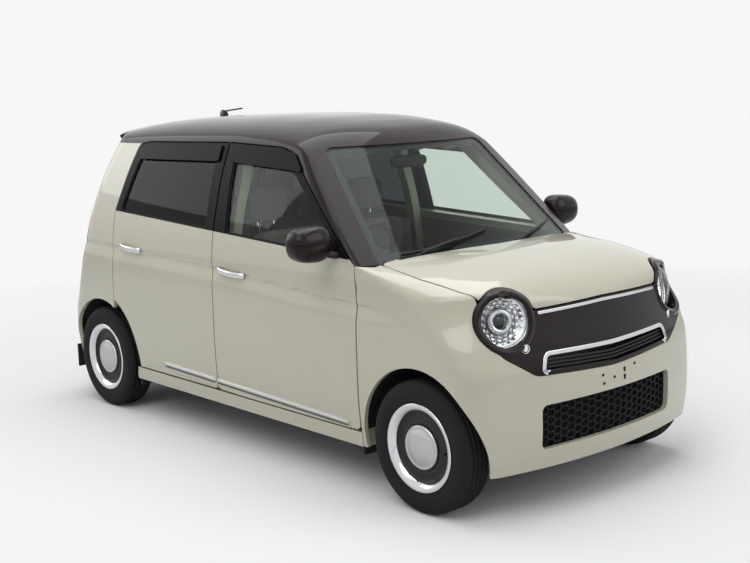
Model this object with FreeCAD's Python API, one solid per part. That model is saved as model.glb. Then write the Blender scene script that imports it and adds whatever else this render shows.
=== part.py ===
import FreeCAD, Part
import math
import os

# A small five-door city car, about 3.4 m long.
# Millimetres. +X points forward, +Y to the car's left, +Z up.
# The origin lies on the ground, halfway along the length and the width.

LENGTH = 3395.0
WHEELBASE = 2520.0
TRACK = 1305.0
FRONT_OVERHANG = 435.0
HALF_WIDTH = 737.5
SILL_Z = 210.0
ROOF_Z = 1602.0

TYRE_R = 278.5
TYRE_W = 155.0
RIM_SEAT_R = 178.0
WHEEL_HOLE_R = 30.0
ARCH_R = 330.0

PANEL_GAP = 8.0
FRAME_GAP = 10.0
SEAT_CLEARANCE = 0.3
MOVING_CLEARANCE = 6.0
SHEET_T = 26.0
DOOR_T = 70.0
FRAME_T = 34.0
PILLAR_T = 46.0
ROOF_T = 26.0
BONNET_T = 30.0
BUMPER_T = 26.0
GLASS_T = 5.0
GLASS_INSET = 12.0

B_SHUT_LOW_X = -155.0
B_SHUT_TOP_X = -172.0
DOOR_FRONT_X = 905.0
DOOR_LOW_Z = 283.0
BELT_FRONT_Z = 1005.0
BELT_REAR_Z = 1099.0
BELT_FRONT_X = 878.0
BELT_REAR_X = -1067.0
HINGE_SETBACK = 80.0
HINGE_INSET = 22.0

LAMP_X = 1545.0
LAMP_Y = 517.0
LAMP_Z = 805.0
LAMP_TOE = 25.0
LAMP_RISE = 8.0
LAMP_R = 100.0
LAMP_RING_R = 130.0

PLATE_HOLE_R = 3.4
PLATE_HOLE_SPACING = 210.0
PLATE_Z = 505.0
REAR_PLATE_Z = 470.0

REAR_X = -LENGTH / 2
FRONT_X = LENGTH / 2
FRONT_AXLE_X = FRONT_X - FRONT_OVERHANG
REAR_AXLE_X = FRONT_AXLE_X - WHEELBASE
WHEEL_Y = TRACK / 2

# Profiles of the outer skin as pairs of station and value.
SIDE_PROFILE = [(100, 700), (205, 714), (300, 726), (450, 736), (620, 737.5), (750, 735), (880, 727),
                (1000, 713), (1100, 693), (1200, 669), (1330, 633), (1467, 583), (1650, 510)]
ROOF_CROWN = [(-1900, 1400), (-1500, 1505), (-1250, 1558), (-1000, 1583), (-600, 1599), (-230, 1602),
              (100, 1592), (300, 1567), (420, 1535), (520, 1497), (650, 1442), (850, 1352), (1150, 1210)]
ROOF_RAIL = [(-1900, 1380), (-1500, 1440), (-1250, 1466), (-980, 1478), (-205, 1488), (200, 1474),
             (330, 1458), (450, 1430), (560, 1390), (750, 1300), (1150, 1080)]
HOOD_CROWN = [(700, 1010), (900, 1016), (1060, 1022), (1209, 1020), (1323, 1006), (1434, 982), (1515, 953),
              (1575, 915), (1612, 877), (1640, 830), (1680, 730), (1800, 430)]
HOOD_SHOULDER = [(700, 12), (880, 30), (1000, 70), (1120, 110), (1250, 145), (1450, 165), (1800, 165)]
NOSE_PROFILE = [(100, 1655), (205, 1680), (280, 1692), (380, 1697.5), (480, 1696), (600, 1688), (690, 1668),
                (770, 1646), (840, 1630), (950, 1622), (1100, 1618)]
NOSE_CORNER = [(100, 110), (380, 120), (600, 135), (700, 175), (800, 260), (900, 300), (1100, 310)]
TAIL_PROFILE = [(100, -1645), (205, -1676), (300, -1693), (390, -1697.5), (500, -1690), (620, -1650), (770, -1604),
                (920, -1551), (1125, -1492), (1250, -1445), (1360, -1394), (1470, -1336), (1560, -1288), (1700, -1200)]
SCREEN_BASE_X = 1040.0
SCREEN_BASE_Z = 1000.0
SCREEN_RUN = 1.105
NOSE_CROWN = 0.20e-3
TAIL_CROWN = 0.10e-3
SCREEN_CROWN = 0.32e-3
TAIL_CORNER_R = 150.0
CORNER_OVERLAP = 3.0


def smooth(profile, x):
    """Read a profile at x with a shape-preserving cubic."""
    if x <= profile[0][0]:
        return profile[0][1]
    if x >= profile[-1][0]:
        return profile[-1][1]
    count = len(profile)
    widths = [profile[i + 1][0] - profile[i][0] for i in range(count - 1)]
    slopes = [(profile[i + 1][1] - profile[i][1]) / widths[i] for i in range(count - 1)]
    tangents = [slopes[0]]
    for i in range(1, count - 1):
        if slopes[i - 1] * slopes[i] <= 0:
            tangents.append(0.0)
        else:
            w1 = 2 * widths[i] + widths[i - 1]
            w2 = widths[i] + 2 * widths[i - 1]
            tangents.append((w1 + w2) / (w1 / slopes[i - 1] + w2 / slopes[i]))
    tangents.append(slopes[-1])
    i = max(k for k in range(count - 1) if profile[k][0] <= x)
    t = (x - profile[i][0]) / widths[i]
    h00 = (1 + 2 * t) * (1 - t) ** 2
    h10 = t * (1 - t) ** 2
    h01 = t * t * (3 - 2 * t)
    h11 = t * t * (t - 1)
    return (h00 * profile[i][1] + h10 * widths[i] * tangents[i]
            + h01 * profile[i + 1][1] + h11 * widths[i] * tangents[i + 1])


def side_y(z):
    return smooth(SIDE_PROFILE, z)


def vec(x, y, z):
    return FreeCAD.Vector(x, y, z)


def spline(points):
    curve = Part.BSplineCurve()
    curve.interpolate(points)
    return curve.toShape()


def closed_section(half_points):
    """Close a half section, given from the bottom up to the middle, with its mirror image and a flat bottom."""
    left = list(half_points)
    right = [vec(p.x, -p.y, p.z) for p in reversed(left[:-1])]
    return Part.Wire([spline(left + right), Part.LineSegment(right[-1], left[0]).toShape()])


SECTION_BOTTOM_Z = 120.0
ROOF_POWER = 3.0
HOOD_POWER = 3.5


def crowned_half(x, inset, rail_z, crown_z, power, levels, angles):
    """Half a cross-section: a barrelled side up to rail_z, then a rounded shoulder over to crown_z."""
    points = []
    for i in range(levels):
        z = SECTION_BOTTOM_Z + (rail_z - SECTION_BOTTOM_Z) * i / levels
        points.append(vec(x, side_y(z) - inset, z))
    rise = crown_z - inset - rail_z
    for i in range(angles + 1):
        angle = math.pi / 2 * (1 - i / angles)
        z = rail_z + rise * math.cos(angle)
        points.append(vec(x, (side_y(z) - inset) * math.sin(angle) ** (2 / power), z))
    return points


def cabin_tunnel(inset):
    stations = [-1850, -1500, -1250, -1000, -620, -230, 60, 240, 360, 460, 560, 700, 900, 1140]
    return Part.makeLoft([closed_section(crowned_half(x, inset, smooth(ROOF_RAIL, x), smooth(ROOF_CROWN, x),
                                                      ROOF_POWER, 10, 7)) for x in stations], True)


def hood_tunnel(inset):
    stations = [700, 820, 940, 1060, 1180, 1300, 1410, 1500, 1570, 1620, 1660, 1720, 1800]
    return Part.makeLoft([closed_section(crowned_half(x, inset, smooth(HOOD_CROWN, x) - smooth(HOOD_SHOULDER, x),
                                                      smooth(HOOD_CROWN, x), HOOD_POWER, 8, 7))
                          for x in stations], True)


def bowed_end(z, tip_x, direction, crown, half_width, corner_r):
    """Points of one bowed end with rounded corners, from the right side round to the left."""
    half = []
    centre_y = half_width - corner_r
    for i in range(5):
        angle = math.pi / 2 * i / 4
        y = centre_y + corner_r * math.cos(angle)
        back = corner_r * (1 - math.sin(angle))
        half.append((y, back))
    for share in (0.8, 0.6, 0.4, 0.2):
        half.append((centre_y * share, 0.0))
    points = [vec(tip_x - direction * (back + crown * y * y), y, z) for y, back in half]
    points.append(vec(tip_x, 0, z))
    points += [vec(p.x, -p.y, p.z) for p in reversed(points[:-1])]
    return list(reversed(points))


def plan_loft(levels, front, rear):
    """Loft stacked plan outlines; front and rear give the points of each end at a level."""
    wires = []
    for z in levels:
        nose = front(z)
        tail = rear(z)
        wires.append(Part.Wire([spline(nose), Part.LineSegment(nose[-1], tail[-1]).toShape(),
                                spline(list(reversed(tail))), Part.LineSegment(tail[0], nose[0]).toShape()]))
    return Part.makeLoft(wires, True)


def screen_x(z):
    return SCREEN_BASE_X - (z - SCREEN_BASE_Z) * SCREEN_RUN


def cabin_plan(inset):
    def front(z):
        return bowed_end(z, screen_x(z) - inset * 1.35, 1, SCREEN_CROWN, 900, 60)

    def rear(z):
        return bowed_end(z, smooth(TAIL_PROFILE, z) + inset, -1, TAIL_CROWN,
                         side_y(z) + CORNER_OVERLAP - inset, TAIL_CORNER_R - inset)
    return plan_loft([100, 205, 300, 390, 500, 620, 770, 920, 1125, 1250, 1360, 1470, 1560, 1700], front, rear)


def nose_plan(inset):
    def front(z):
        return bowed_end(z, smooth(NOSE_PROFILE, z) - inset, 1, NOSE_CROWN,
                         side_y(z) + CORNER_OVERLAP - inset, smooth(NOSE_CORNER, z) - inset)

    def rear(z):
        return bowed_end(z, 600, -1, 0, 800, 60)
    return plan_loft([100, 205, 280, 380, 480, 600, 690, 770, 840, 950, 1100], front, rear)


skins = {}


def cabin(inset):
    if ("cabin", inset) not in skins:
        skins["cabin", inset] = cabin_tunnel(inset).common(cabin_plan(inset))
    return skins["cabin", inset]


def nose(inset):
    if ("nose", inset) not in skins:
        skins["nose", inset] = hood_tunnel(inset).common(nose_plan(inset))
    return skins["nose", inset]


def shell(skin, outer, inner, tool):
    """The wall between two insets of a skin, within a tool."""
    return skin(outer).common(tool).cut(skin(inner))


def mirror(shape):
    return shape.mirror(vec(0, 0, 0), vec(0, 1, 0))


def rounded_wire(corners, place):
    """A closed outline through corners given as (a, b, radius); place turns a and b into a point."""
    edges = []
    starts = []
    ends = []
    middles = []
    count = len(corners)
    for i in range(count):
        a, b, radius = corners[i]
        pa, pb, _ = corners[i - 1]
        na, nb, _ = corners[(i + 1) % count]
        to_prev = vec(pa - a, pb - b, 0)
        to_next = vec(na - a, nb - b, 0)
        to_prev.normalize()
        to_next.normalize()
        corner = vec(a, b, 0)
        if radius <= 0:
            starts.append(corner)
            ends.append(corner)
            middles.append(None)
            continue
        half = to_prev.getAngle(to_next) / 2
        reach = radius / math.tan(half)
        bisector = to_prev + to_next
        bisector.normalize()
        starts.append(corner + to_prev * reach)
        ends.append(corner + to_next * reach)
        middles.append(corner + bisector * (radius / math.sin(half) - radius))
    for i in range(count):
        if middles[i] is not None:
            edges.append(Part.Arc(place(starts[i]), place(middles[i]), place(ends[i])).toShape())
        edges.append(Part.LineSegment(place(ends[i]), place(starts[(i + 1) % count])).toShape())
    return Part.Wire(edges)


def side_prism(corners, y0, y1):
    """Extrude an outline drawn in side view from y0 to y1."""
    wire = rounded_wire(corners, lambda p: vec(p.x, y0, p.y))
    return Part.Face(wire).extrude(vec(0, y1 - y0, 0))


def plan_prism(corners, z0, z1):
    """Extrude an outline drawn in plan view from z0 to z1."""
    wire = rounded_wire(corners, lambda p: vec(p.x, p.y, z0))
    return Part.Face(wire).extrude(vec(0, 0, z1 - z0))


def front_prism(corners, x0, x1):
    """Extrude an outline drawn in front view (y, z) from x0 to x1."""
    wire = rounded_wire(corners, lambda p: vec(x0, p.x, p.y))
    return Part.Face(wire).extrude(vec(x1 - x0, 0, 0))


def block(x0, x1, y0, y1, z0, z1):
    return Part.makeBox(x1 - x0, y1 - y0, z1 - z0, vec(x0, y0, z0))


def y_cylinder(radius, x, z, y0, y1):
    return Part.makeCylinder(radius, y1 - y0, vec(x, y0, z), vec(0, 1, 0))


def x_cylinder(radius, y, z, x0, x1):
    return Part.makeCylinder(radius, x1 - x0, vec(x0, y, z), vec(1, 0, 0))


def tube_between(start, end, radius):
    return Part.makeCylinder(radius, (end - start).Length, start, end - start)


def y_revolve(points, x, z):
    """Spin a closed profile of (radius, y) about the line through x and z along Y."""
    wire = Part.makePolygon([vec(x + r, y, z) for r, y in points + points[:1]])
    return Part.Face(wire).revolve(vec(x, 0, z), vec(0, 1, 0), 360)


def belt_z(x):
    share = (x - BELT_FRONT_X) / (BELT_REAR_X - BELT_FRONT_X)
    return BELT_FRONT_Z + share * (BELT_REAR_Z - BELT_FRONT_Z)


def band_wire(outer, inner):
    """A closed strip between two open rows of points."""
    return Part.Wire([spline(outer), Part.LineSegment(outer[-1], inner[-1]).toShape(),
                      spline(list(reversed(inner))), Part.LineSegment(inner[0], outer[0]).toShape()])


def cabin_half(x, inset):
    return crowned_half(x, inset, smooth(ROOF_RAIL, x), smooth(ROOF_CROWN, x), ROOF_POWER, 9, 6)


def both_halves(half_points):
    left = list(half_points)
    return left + [vec(p.x, -p.y, p.z) for p in reversed(left[:-1])]


bands = {}


def side_band(outer, inner):
    """The left-hand body side as a wall between two insets, from the tail to the screen."""
    key = ("side", outer, inner)
    if key not in bands:
        stations = [-1300, -1000, -620, -230, 60, 240, 360, 460, 560, 700, 950]
        bands[key] = Part.makeLoft([band_wire(cabin_half(x, outer), cabin_half(x, inner)) for x in stations], True)
    return bands[key]


def roof_band(outer, inner):
    """The whole roof with both body sides as a wall between two insets."""
    stations = [-1300, -1000, -620, -230, 60, 240, 360, 460, 560, 700, 950]
    return Part.makeLoft([band_wire(both_halves(cabin_half(x, outer)), both_halves(cabin_half(x, inner)))
                          for x in stations], True)


def tail_band(outer, inner, levels):
    """The tail between two insets, as a stack of bowed outlines."""
    wires = []
    for z in levels:
        rows = [bowed_end(z, smooth(TAIL_PROFILE, z) + t, -1, TAIL_CROWN, side_y(z) - t, TAIL_CORNER_R - t)
                for t in (outer, inner)]
        wires.append(band_wire(*rows))
    return Part.makeLoft(wires, True)


def screen_band(outer, inner):
    wires = []
    for z in (940, 1100, 1300, 1520):
        rows = [bowed_end(z, screen_x(z) - t * SCREEN_SLANT, 1, SCREEN_CROWN, 720, 60) for t in (outer, inner)]
        wires.append(band_wire(*rows))
    return Part.makeLoft(wires, True)


def end_wrap(levels, outer, inner, ends, open_x):
    """A U-shaped wall round one end of the body: both sides from open_x and the bowed end between them."""
    wires = []
    for z in levels:
        rows = [ends(z, t) for t in (outer, inner)]
        halves = [side_y(z) - t for t in (outer, inner)]
        corners = [vec(open_x, side * half, z) for half in halves for side in (-1, 1)]
        line = [Part.LineSegment(a, b).toShape() for a, b in (
            (corners[0], rows[0][0]), (rows[0][-1], corners[1]), (corners[1], corners[3]),
            (corners[3], rows[1][-1]), (rows[1][0], corners[2]), (corners[2], corners[0]))]
        wires.append(Part.Wire([line[0], spline(rows[0]), line[1], line[2], line[3],
                                spline(list(reversed(rows[1]))), line[4], line[5]]))
    return Part.makeLoft(wires, True)


def tail_wrap(outer, inner):
    """Both rear quarters with the tail between them, as a wall between two insets."""
    def ends(z, t):
        return bowed_end(z, smooth(TAIL_PROFILE, z) + t, -1, TAIL_CROWN, side_y(z) - t, TAIL_CORNER_R - t)
    if ("tail", outer, inner) not in bands:
        levels = (180, 300, 390, 500, 620, 770, 920, 1125, 1250, 1360, 1480)
        bands["tail", outer, inner] = end_wrap(levels, outer, inner, ends, QUARTER_X)
    return bands["tail", outer, inner]


def nose_wrap(outer, inner):
    """The lower nose as a wall between two insets."""
    def ends(z, t):
        return bowed_end(z, smooth(NOSE_PROFILE, z) - t, 1, NOSE_CROWN, side_y(z) - t, smooth(NOSE_CORNER, z) - t)
    return end_wrap((205, 280, 380, 480, 600, 690, 770, 860), outer, inner, ends, 1300)


QUARTER_X = -900.0
SCREEN_SLANT = 1.4
OUT_Y = 900.0
IN_Y = 300.0

# Side-view outlines of the doors and windows: (x, z, corner radius).
FRONT_DOOR = [(DOOR_FRONT_X, DOOR_LOW_Z, 25), (DOOR_FRONT_X, 860, 60), (DOOR_FRONT_X - 24, 985, 20),
              (850, 1008, 30), (352, 1440, 40), (262, 1462, 60), (B_SHUT_TOP_X + FRAME_GAP, 1478, 6),
              (B_SHUT_TOP_X + PANEL_GAP, 1060, 60), (B_SHUT_LOW_X + PANEL_GAP, 700, 60),
              (B_SHUT_LOW_X + PANEL_GAP, DOOR_LOW_Z, 25)]
REAR_DOOR = [(B_SHUT_LOW_X, DOOR_LOW_Z, 25), (B_SHUT_LOW_X, 700, 60), (B_SHUT_TOP_X, 1060, 60),
             (B_SHUT_TOP_X, 1478, 6), (-900, 1470, 50), (-985, 1455, 40), (-1105, 1110, 60),
             (-1105, DOOR_LOW_Z, 0)]
FRONT_WINDOW = [(812, belt_z(812) + 6, 14), (330, 1412, 40), (262, 1424, 30), (-98, 1436, 14),
                (-72, belt_z(-72) + 6, 14)]
REAR_WINDOW = [(-236, belt_z(-236) + 6, 14), (-240, 1438, 14), (-880, 1432, 30), (-935, 1420, 30),
               (-1052, belt_z(-1052) + 24, 10), (-1024, belt_z(-1024) + 6, 10)]
DOOR_ARCH_MARGIN = 45.0
WINDOW_LEDGE = 30.0
UPPER_DOORS = [(-1400, belt_z(-1400) - WINDOW_LEDGE, 0), (1200, belt_z(1200) - WINDOW_LEDGE, 0),
               (1200, 1700, 0), (-1400, 1700, 0)]

# Hinges: each door turns on two upright pins.
HINGE_Y = HALF_WIDTH - HINGE_INSET
HINGE_HEIGHTS = (420.0, 800.0)
HINGE_PIN_R = 8.0
HINGE_POCKET_HALF = 30.0
FRONT_HINGE_X = DOOR_FRONT_X - HINGE_SETBACK
REAR_HINGE_X = B_SHUT_LOW_X - HINGE_SETBACK
POST_INSET = 112.0
POST_DEPTH = 150.0
RING_INSET = DOOR_T + PANEL_GAP
RING_DEPTH = 130.0
SILL_TOP_Z = DOOR_LOW_Z - PANEL_GAP
DOOR_SWING_R = 116.0


def grown(corners, amount):
    """Move every side of an outline outwards by an amount."""
    result = []
    count = len(corners)
    area = sum(corners[i][0] * corners[(i + 1) % count][1] - corners[(i + 1) % count][0] * corners[i][1]
               for i in range(count))
    sign = 1 if area > 0 else -1
    for i in range(count):
        a, b, radius = corners[i]
        pa, pb, _ = corners[i - 1]
        na, nb, _ = corners[(i + 1) % count]
        before = vec(a - pa, b - pb, 0)
        after = vec(na - a, nb - b, 0)
        before.normalize()
        after.normalize()
        normal_before = vec(before.y, -before.x, 0) * sign
        normal_after = vec(after.y, -after.x, 0) * sign
        bisector = normal_before + normal_after
        bisector.normalize()
        reach = amount / bisector.dot(normal_after)
        turn = before.cross(after).z * sign
        change = amount if turn > 0 else -amount
        new_radius = max(radius + change, 0) if radius > 0 else 0
        result.append((a + bisector.x * reach, b + bisector.y * reach, new_radius))
    return result


def left_side(corners):
    return side_prism(corners, IN_Y, OUT_Y)


def arch(x, radius):
    return y_cylinder(radius, x, TYRE_R, -OUT_Y, OUT_Y)


def hinge_pocket(hinge_x):
    """Two pockets in a door's inner face, one round each hinge pin, open at its front edge."""
    return [block(hinge_x - 62, hinge_x + HINGE_SETBACK + 12, HALF_WIDTH - DOOR_T - 40, HINGE_Y + HINGE_PIN_R + 1,
                  z - HINGE_POCKET_HALF, z + HINGE_POCKET_HALF) for z in HINGE_HEIGHTS]


def hinge_arms(hinge_x):
    """Two pins on short arms that stand out from the door post."""
    arms = []
    half = HINGE_POCKET_HALF - SEAT_CLEARANCE
    for z in HINGE_HEIGHTS:
        pin = Part.makeCylinder(HINGE_PIN_R, 2 * half, vec(hinge_x, HINGE_Y, z - half))
        bend = vec(hinge_x + 10, HINGE_Y - 70, z)
        end = vec(hinge_x + 62, HALF_WIDTH - POST_INSET - 12, z)
        radius = HINGE_PIN_R - 1
        arms.append(pin.fuse([tube_between(vec(hinge_x, HINGE_Y, z), bend, radius), tube_between(bend, end, radius),
                              Part.makeSphere(radius, bend)]))
    return arms


def door(outline, window, hinge_x):
    """A left-hand door: a deep lower box and a slim window frame, in one solid."""
    skin = side_band(0, DOOR_T).common(left_side(outline))
    recess = side_band(FRAME_T, DOOR_T + 20).common(left_side(UPPER_DOORS))
    skin = skin.cut([recess, left_side(window), arch(REAR_AXLE_X, ARCH_R + DOOR_ARCH_MARGIN)])
    for pocket in hinge_pocket(hinge_x):
        skin = skin.cut(pocket)
    return skin


def door_glass(window):
    return side_band(GLASS_INSET, GLASS_INSET + GLASS_T).common(left_side(grown(window, -SEAT_CLEARANCE)))


MIRROR_X = 712.0
MIRROR_Y = 815.0
MIRROR_Z = 1085.0


def door_mirror():
    """Door mirror: a rounded housing, flat towards the driver, on a short arm."""
    housing = block(MIRROR_X - 22, MIRROR_X + 80, MIRROR_Y - 95, MIRROR_Y + 90, MIRROR_Z - 70, MIRROR_Z + 70)
    housing = housing.makeFillet(40, [e for e in housing.Edges if e.BoundBox.XMax > MIRROR_X])
    arm = side_prism([(MIRROR_X - 10, 1024, 12), (MIRROR_X + 66, 1024, 12), (MIRROR_X + 50, 1060, 12),
                      (MIRROR_X, 1060, 12)], 690, MIRROR_Y - 20)
    arm = arm.cut(cabin_tunnel(-SEAT_CLEARANCE))
    return housing.fuse(arm)


def quarter():
    """Rear quarter skin with its corner, left-hand side."""
    region = left_side([(-1900, SILL_Z, 0), (QUARTER_X - 25, SILL_Z, 0), (QUARTER_X - 25, QUARTER_TOP_Z, 0),
                        (-1900, QUARTER_TOP_Z, 0)])
    skin = tail_wrap(0, SHEET_T).common(region)
    skin = skin.cut([left_side(grown(REAR_DOOR, PANEL_GAP)), tailgate_tool(PANEL_GAP), rear_bumper_tool(SEAT_CLEARANCE),
                     tail_lamp_tool(SEAT_CLEARANCE), arch(REAR_AXLE_X, ARCH_R)])
    return max(skin.Solids, key=lambda s: s.Volume)


ROOF_REAR_X = -1262.0
QUARTER_TOP_Z = 1462.0
LINER_R = ARCH_R + 14.0


def side_frame():
    """Sill, door posts and inner roof rail of the left side, welded as one."""
    ring_tool = left_side([(DOOR_FRONT_X + 55, SILL_TOP_Z - 30, 0), (DOOR_FRONT_X + 55, 930, 0), (896, 945, 0),
                           (868, 1012, 0), (370, 1462, 0), (262, 1484, 0), (-950, 1490, 0), (-1020, 1470, 0),
                           (-1145, 1110, 0), (-1145, 700, 0), (-925, SILL_TOP_Z - 30, 0)])
    front_hole = [(DOOR_FRONT_X + PANEL_GAP, SILL_TOP_Z, 0), (DOOR_FRONT_X + PANEL_GAP, 925, 0), (850, 965, 30),
                  (330, 1408, 40), (255, 1425, 40), (-105, 1436, 20), (-100, SILL_TOP_Z, 0)]
    rear_hole = [(-150, SILL_TOP_Z, 0), (-160, 1436, 20), (-880, 1430, 30), (-935, 1418, 30), (-1062, 1100, 60),
                 (-1062, SILL_TOP_Z, 0)]
    ring = side_band(RING_INSET, RING_DEPTH).common(ring_tool)
    swing = Part.makeCylinder(DOOR_SWING_R, 190, vec(FRONT_HINGE_X, HINGE_Y, 920))
    ring = ring.cut([left_side(front_hole), left_side(rear_hole), liner_tool(REAR_AXLE_X), liner_tool(FRONT_AXLE_X), swing])
    sill_end = DOOR_FRONT_X + PANEL_GAP - SEAT_CLEARANCE
    sill = side_band(0, POST_DEPTH).common(left_side([(QUARTER_X - 24.7, SILL_Z, 0), (sill_end, SILL_Z, 0),
                                                      (sill_end, SILL_TOP_Z, 0), (QUARTER_X - 24.7, SILL_TOP_Z, 0)]))
    sill = sill.cut(liner_tool(REAR_AXLE_X))
    front_post = side_band(SHEET_T + 6, POST_DEPTH).common(
        block(sill_end - 1, DOOR_FRONT_X + 55, IN_Y, OUT_Y, SILL_Z, 925)).cut(liner_tool(FRONT_AXLE_X))
    frame = sill.fuse(front_post)
    for x, top in ((FRONT_HINGE_X, 917), (REAR_HINGE_X, 1000)):
        post = side_band(POST_INSET, POST_DEPTH - 7).common(block(x + 45, x + HINGE_SETBACK + 13, IN_Y, OUT_Y,
                                                                 SILL_TOP_Z - 20, top))
        frame = frame.fuse(post.fuse(hinge_arms(x)))
    return frame.fuse(ring)


def liner_tool(x):
    """Room for the wheel arch liner of the axle at x, left-hand side."""
    inner_y = FRONT_LINER_Y if x > 0 else REAR_LINER_Y
    return y_cylinder(LINER_R + SEAT_CLEARANCE, x, TYRE_R, inner_y - SEAT_CLEARANCE, OUT_Y)


FRONT_LINER_Y = 395.0
REAR_LINER_Y = 470.0


def roof_panel():
    """Roof skin with both rails, screen pillars and the tailgate's hinge pins."""
    edge = QUARTER_TOP_Z + SEAT_CLEARANCE
    outline = [(ROOF_REAR_X, edge, 0), (-960, edge, 0), (262, 1452, 0), (352, 1430, 0), (880, 985, 0), (960, 985, 0),
               (960, 1800, 0), (ROOF_REAR_X, 1800, 0)]
    skin = roof_band(0, ROOF_T).common(side_prism(outline, -OUT_Y, OUT_Y)).common(screen_side(0))
    doors = left_side(grown(FRONT_DOOR, PANEL_GAP)).fuse(left_side(grown(REAR_DOOR, PANEL_GAP)))
    pockets = [block(ROOF_REAR_X - 4, TAIL_HINGE_X + 20, y - 14, y + 14, 1400, TAIL_HINGE_Z + 17) for y in TAIL_HINGE_YS]
    skin = skin.cut([doors, mirror(doors), front_prism(SCREEN_OPENING, 300, 1500)] + pockets)
    pins = [y_cylinder(5, TAIL_HINGE_X, TAIL_HINGE_Z, y - 17, y + 17) for y in TAIL_HINGE_YS]
    return max(skin.Solids, key=lambda s: s.Volume).fuse(pins)


TAIL_HINGE_X = -1225.0
TAIL_HINGE_Z = 1537.0
TAIL_HINGE_YS = (-200.0, 200.0)
SCREEN_OPENING = [(-617, 985, 20), (617, 985, 20), (497, 1462, 50), (-497, 1462, 50)]


def screen_side(inset):
    """All that lies behind the windscreen's surface."""
    return plan_loft([900, 1100, 1300, 1500, 1700],
                     lambda z: bowed_end(z, screen_x(z) - inset, 1, SCREEN_CROWN, 800, 60),
                     lambda z: bowed_end(z, -1900, -1, 0, 800, 60))


def windscreen():
    return screen_band(6, 11).common(front_prism(grown(SCREEN_OPENING, -SEAT_CLEARANCE), 300, 1500))


# Tailgate outline seen from behind: (y, z, corner radius).
TAILGATE = [(-470, 560, 60), (470, 560, 60), (556, 690, 90), (560, 1120, 200), (500, 1560, 30), (-500, 1560, 30),
            (-560, 1120, 200), (-556, 690, 90)]
TAILGATE_T = 40.0
TAIL_WINDOW = [(-420, 1080, 60), (420, 1080, 60), (500, 1130, 80), (452, 1408, 70), (-452, 1408, 70), (-500, 1130, 80)]
TAIL_LEVELS = (480, 620, 770, 920, 1125, 1250, 1360, 1470, 1560)


def tailgate_tool(grow):
    return front_prism(grown(TAILGATE, grow), -1900, ROOF_REAR_X - 8)


def tailgate():
    """Tailgate with its window opening and two hinge arms."""
    skin = tail_band(0, TAILGATE_T, TAIL_LEVELS).common(tailgate_tool(0))
    skin = skin.cut([front_prism(TAIL_WINDOW, -1900, -1000), rear_roof_band(-60, SPOILER_T + SEAT_CLEARANCE)])
    arms = []
    for y in TAIL_HINGE_YS:
        arm = side_prism([(TAIL_HINGE_X - 2, TAIL_HINGE_Z + 9, 0), (TAIL_HINGE_X + 4, TAIL_HINGE_Z - 9, 0), (-1262, 1490, 0),
                          (-1315, 1462, 0), (-1315, 1492, 0), (-1272, 1512, 0)], y - 6, y + 6)
        arm = arm.fuse(y_cylinder(10, TAIL_HINGE_X, TAIL_HINGE_Z, y - 6, y + 6))
        arms.append(arm.cut(y_cylinder(5.3, TAIL_HINGE_X, TAIL_HINGE_Z, y - 20, y + 20)))
    return max(skin.Solids, key=lambda s: s.Volume).fuse(arms)


def tailgate_glass():
    return tail_band(8, 13, TAIL_LEVELS).common(front_prism(grown(TAIL_WINDOW, -SEAT_CLEARANCE), -1900, -1000))


SPOILER_TIP_X = -1348.0
SPOILER_T = 22.0


def rear_roof_band(outer, inner):
    """The rear end of the roof's surface, carried on past the roof, as a wall between two insets."""
    return Part.makeLoft([band_wire(both_halves(cabin_half(x, outer)), both_halves(cabin_half(x, inner)))
                          for x in (-1480, -1330, -1180)], True)


def tailgate_spoiler():
    """The roof's line carried on over the tailgate as a thin visor."""
    outline = [(ROOF_REAR_X - PANEL_GAP, 545, 4), (ROOF_REAR_X - PANEL_GAP, -545, 4), (-1288, -525, 16),
               (SPOILER_TIP_X, -250, 300), (SPOILER_TIP_X, 250, 300), (-1288, 525, 16)]
    return rear_roof_band(0, SPOILER_T).common(plan_prism(outline, 1440, 1700))


def rear_bumper_tool(grow):
    return block(-1900, REAR_AXLE_X - 60 + grow, -OUT_Y, OUT_Y, 0, 552 + grow)


def rear_bumper():
    skin = tail_wrap(0, BUMPER_T).common(rear_bumper_tool(0).common(block(-1900, 0, -OUT_Y, OUT_Y, SILL_Z, 600)))
    holes = [x_cylinder(PLATE_HOLE_R, y, REAR_PLATE_Z, -1800, -1600)
             for y in (-PLATE_HOLE_SPACING / 2, PLATE_HOLE_SPACING / 2)]
    return skin.cut([arch(REAR_AXLE_X, ARCH_R)] + holes)


def tail_lamp_tool(grow):
    side = side_prism(grown([(-1345, 1105, 60), (-1900, 1105, 0), (-1900, 775, 0), (-1462, 775, 60)], grow), 570 - grow, OUT_Y)
    return side


def tail_lamp():
    return max(tail_wrap(0, 34).common(tail_lamp_tool(0)).Solids, key=lambda s: s.Volume)


# Nose: goggle panel outline seen from in front, half of it.
LAMP_AXIS = vec(math.cos(math.radians(LAMP_TOE)) * math.cos(math.radians(LAMP_RISE)),
                math.sin(math.radians(LAMP_TOE)) * math.cos(math.radians(LAMP_RISE)), math.sin(math.radians(LAMP_RISE)))
LAMP_CENTRE = vec(LAMP_X, LAMP_Y, LAMP_Z)


def lamp_cylinder(radius, back, ahead):
    return Part.makeCylinder(radius, back + ahead, LAMP_CENTRE - LAMP_AXIS * back, LAMP_AXIS)


def both(shape):
    return shape.fuse(mirror(shape))


GOGGLE = [(-636, 812, 20), (-604, 690, 120), (-440, 588, 60), (0, 566, 600), (440, 588, 60), (604, 690, 120), (636, 812, 20),
          (385, 840, 30), (0, 846, 0), (-385, 840, 30)]


def goggle_tool(grow):
    """The dark nose panel: a band across the nose with a round boss at each lamp."""
    rings = both(lamp_cylinder(LAMP_RING_R + grow, 130, 140))
    return front_prism(grown(GOGGLE, grow), 1380, 1800).fuse(rings)


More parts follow.
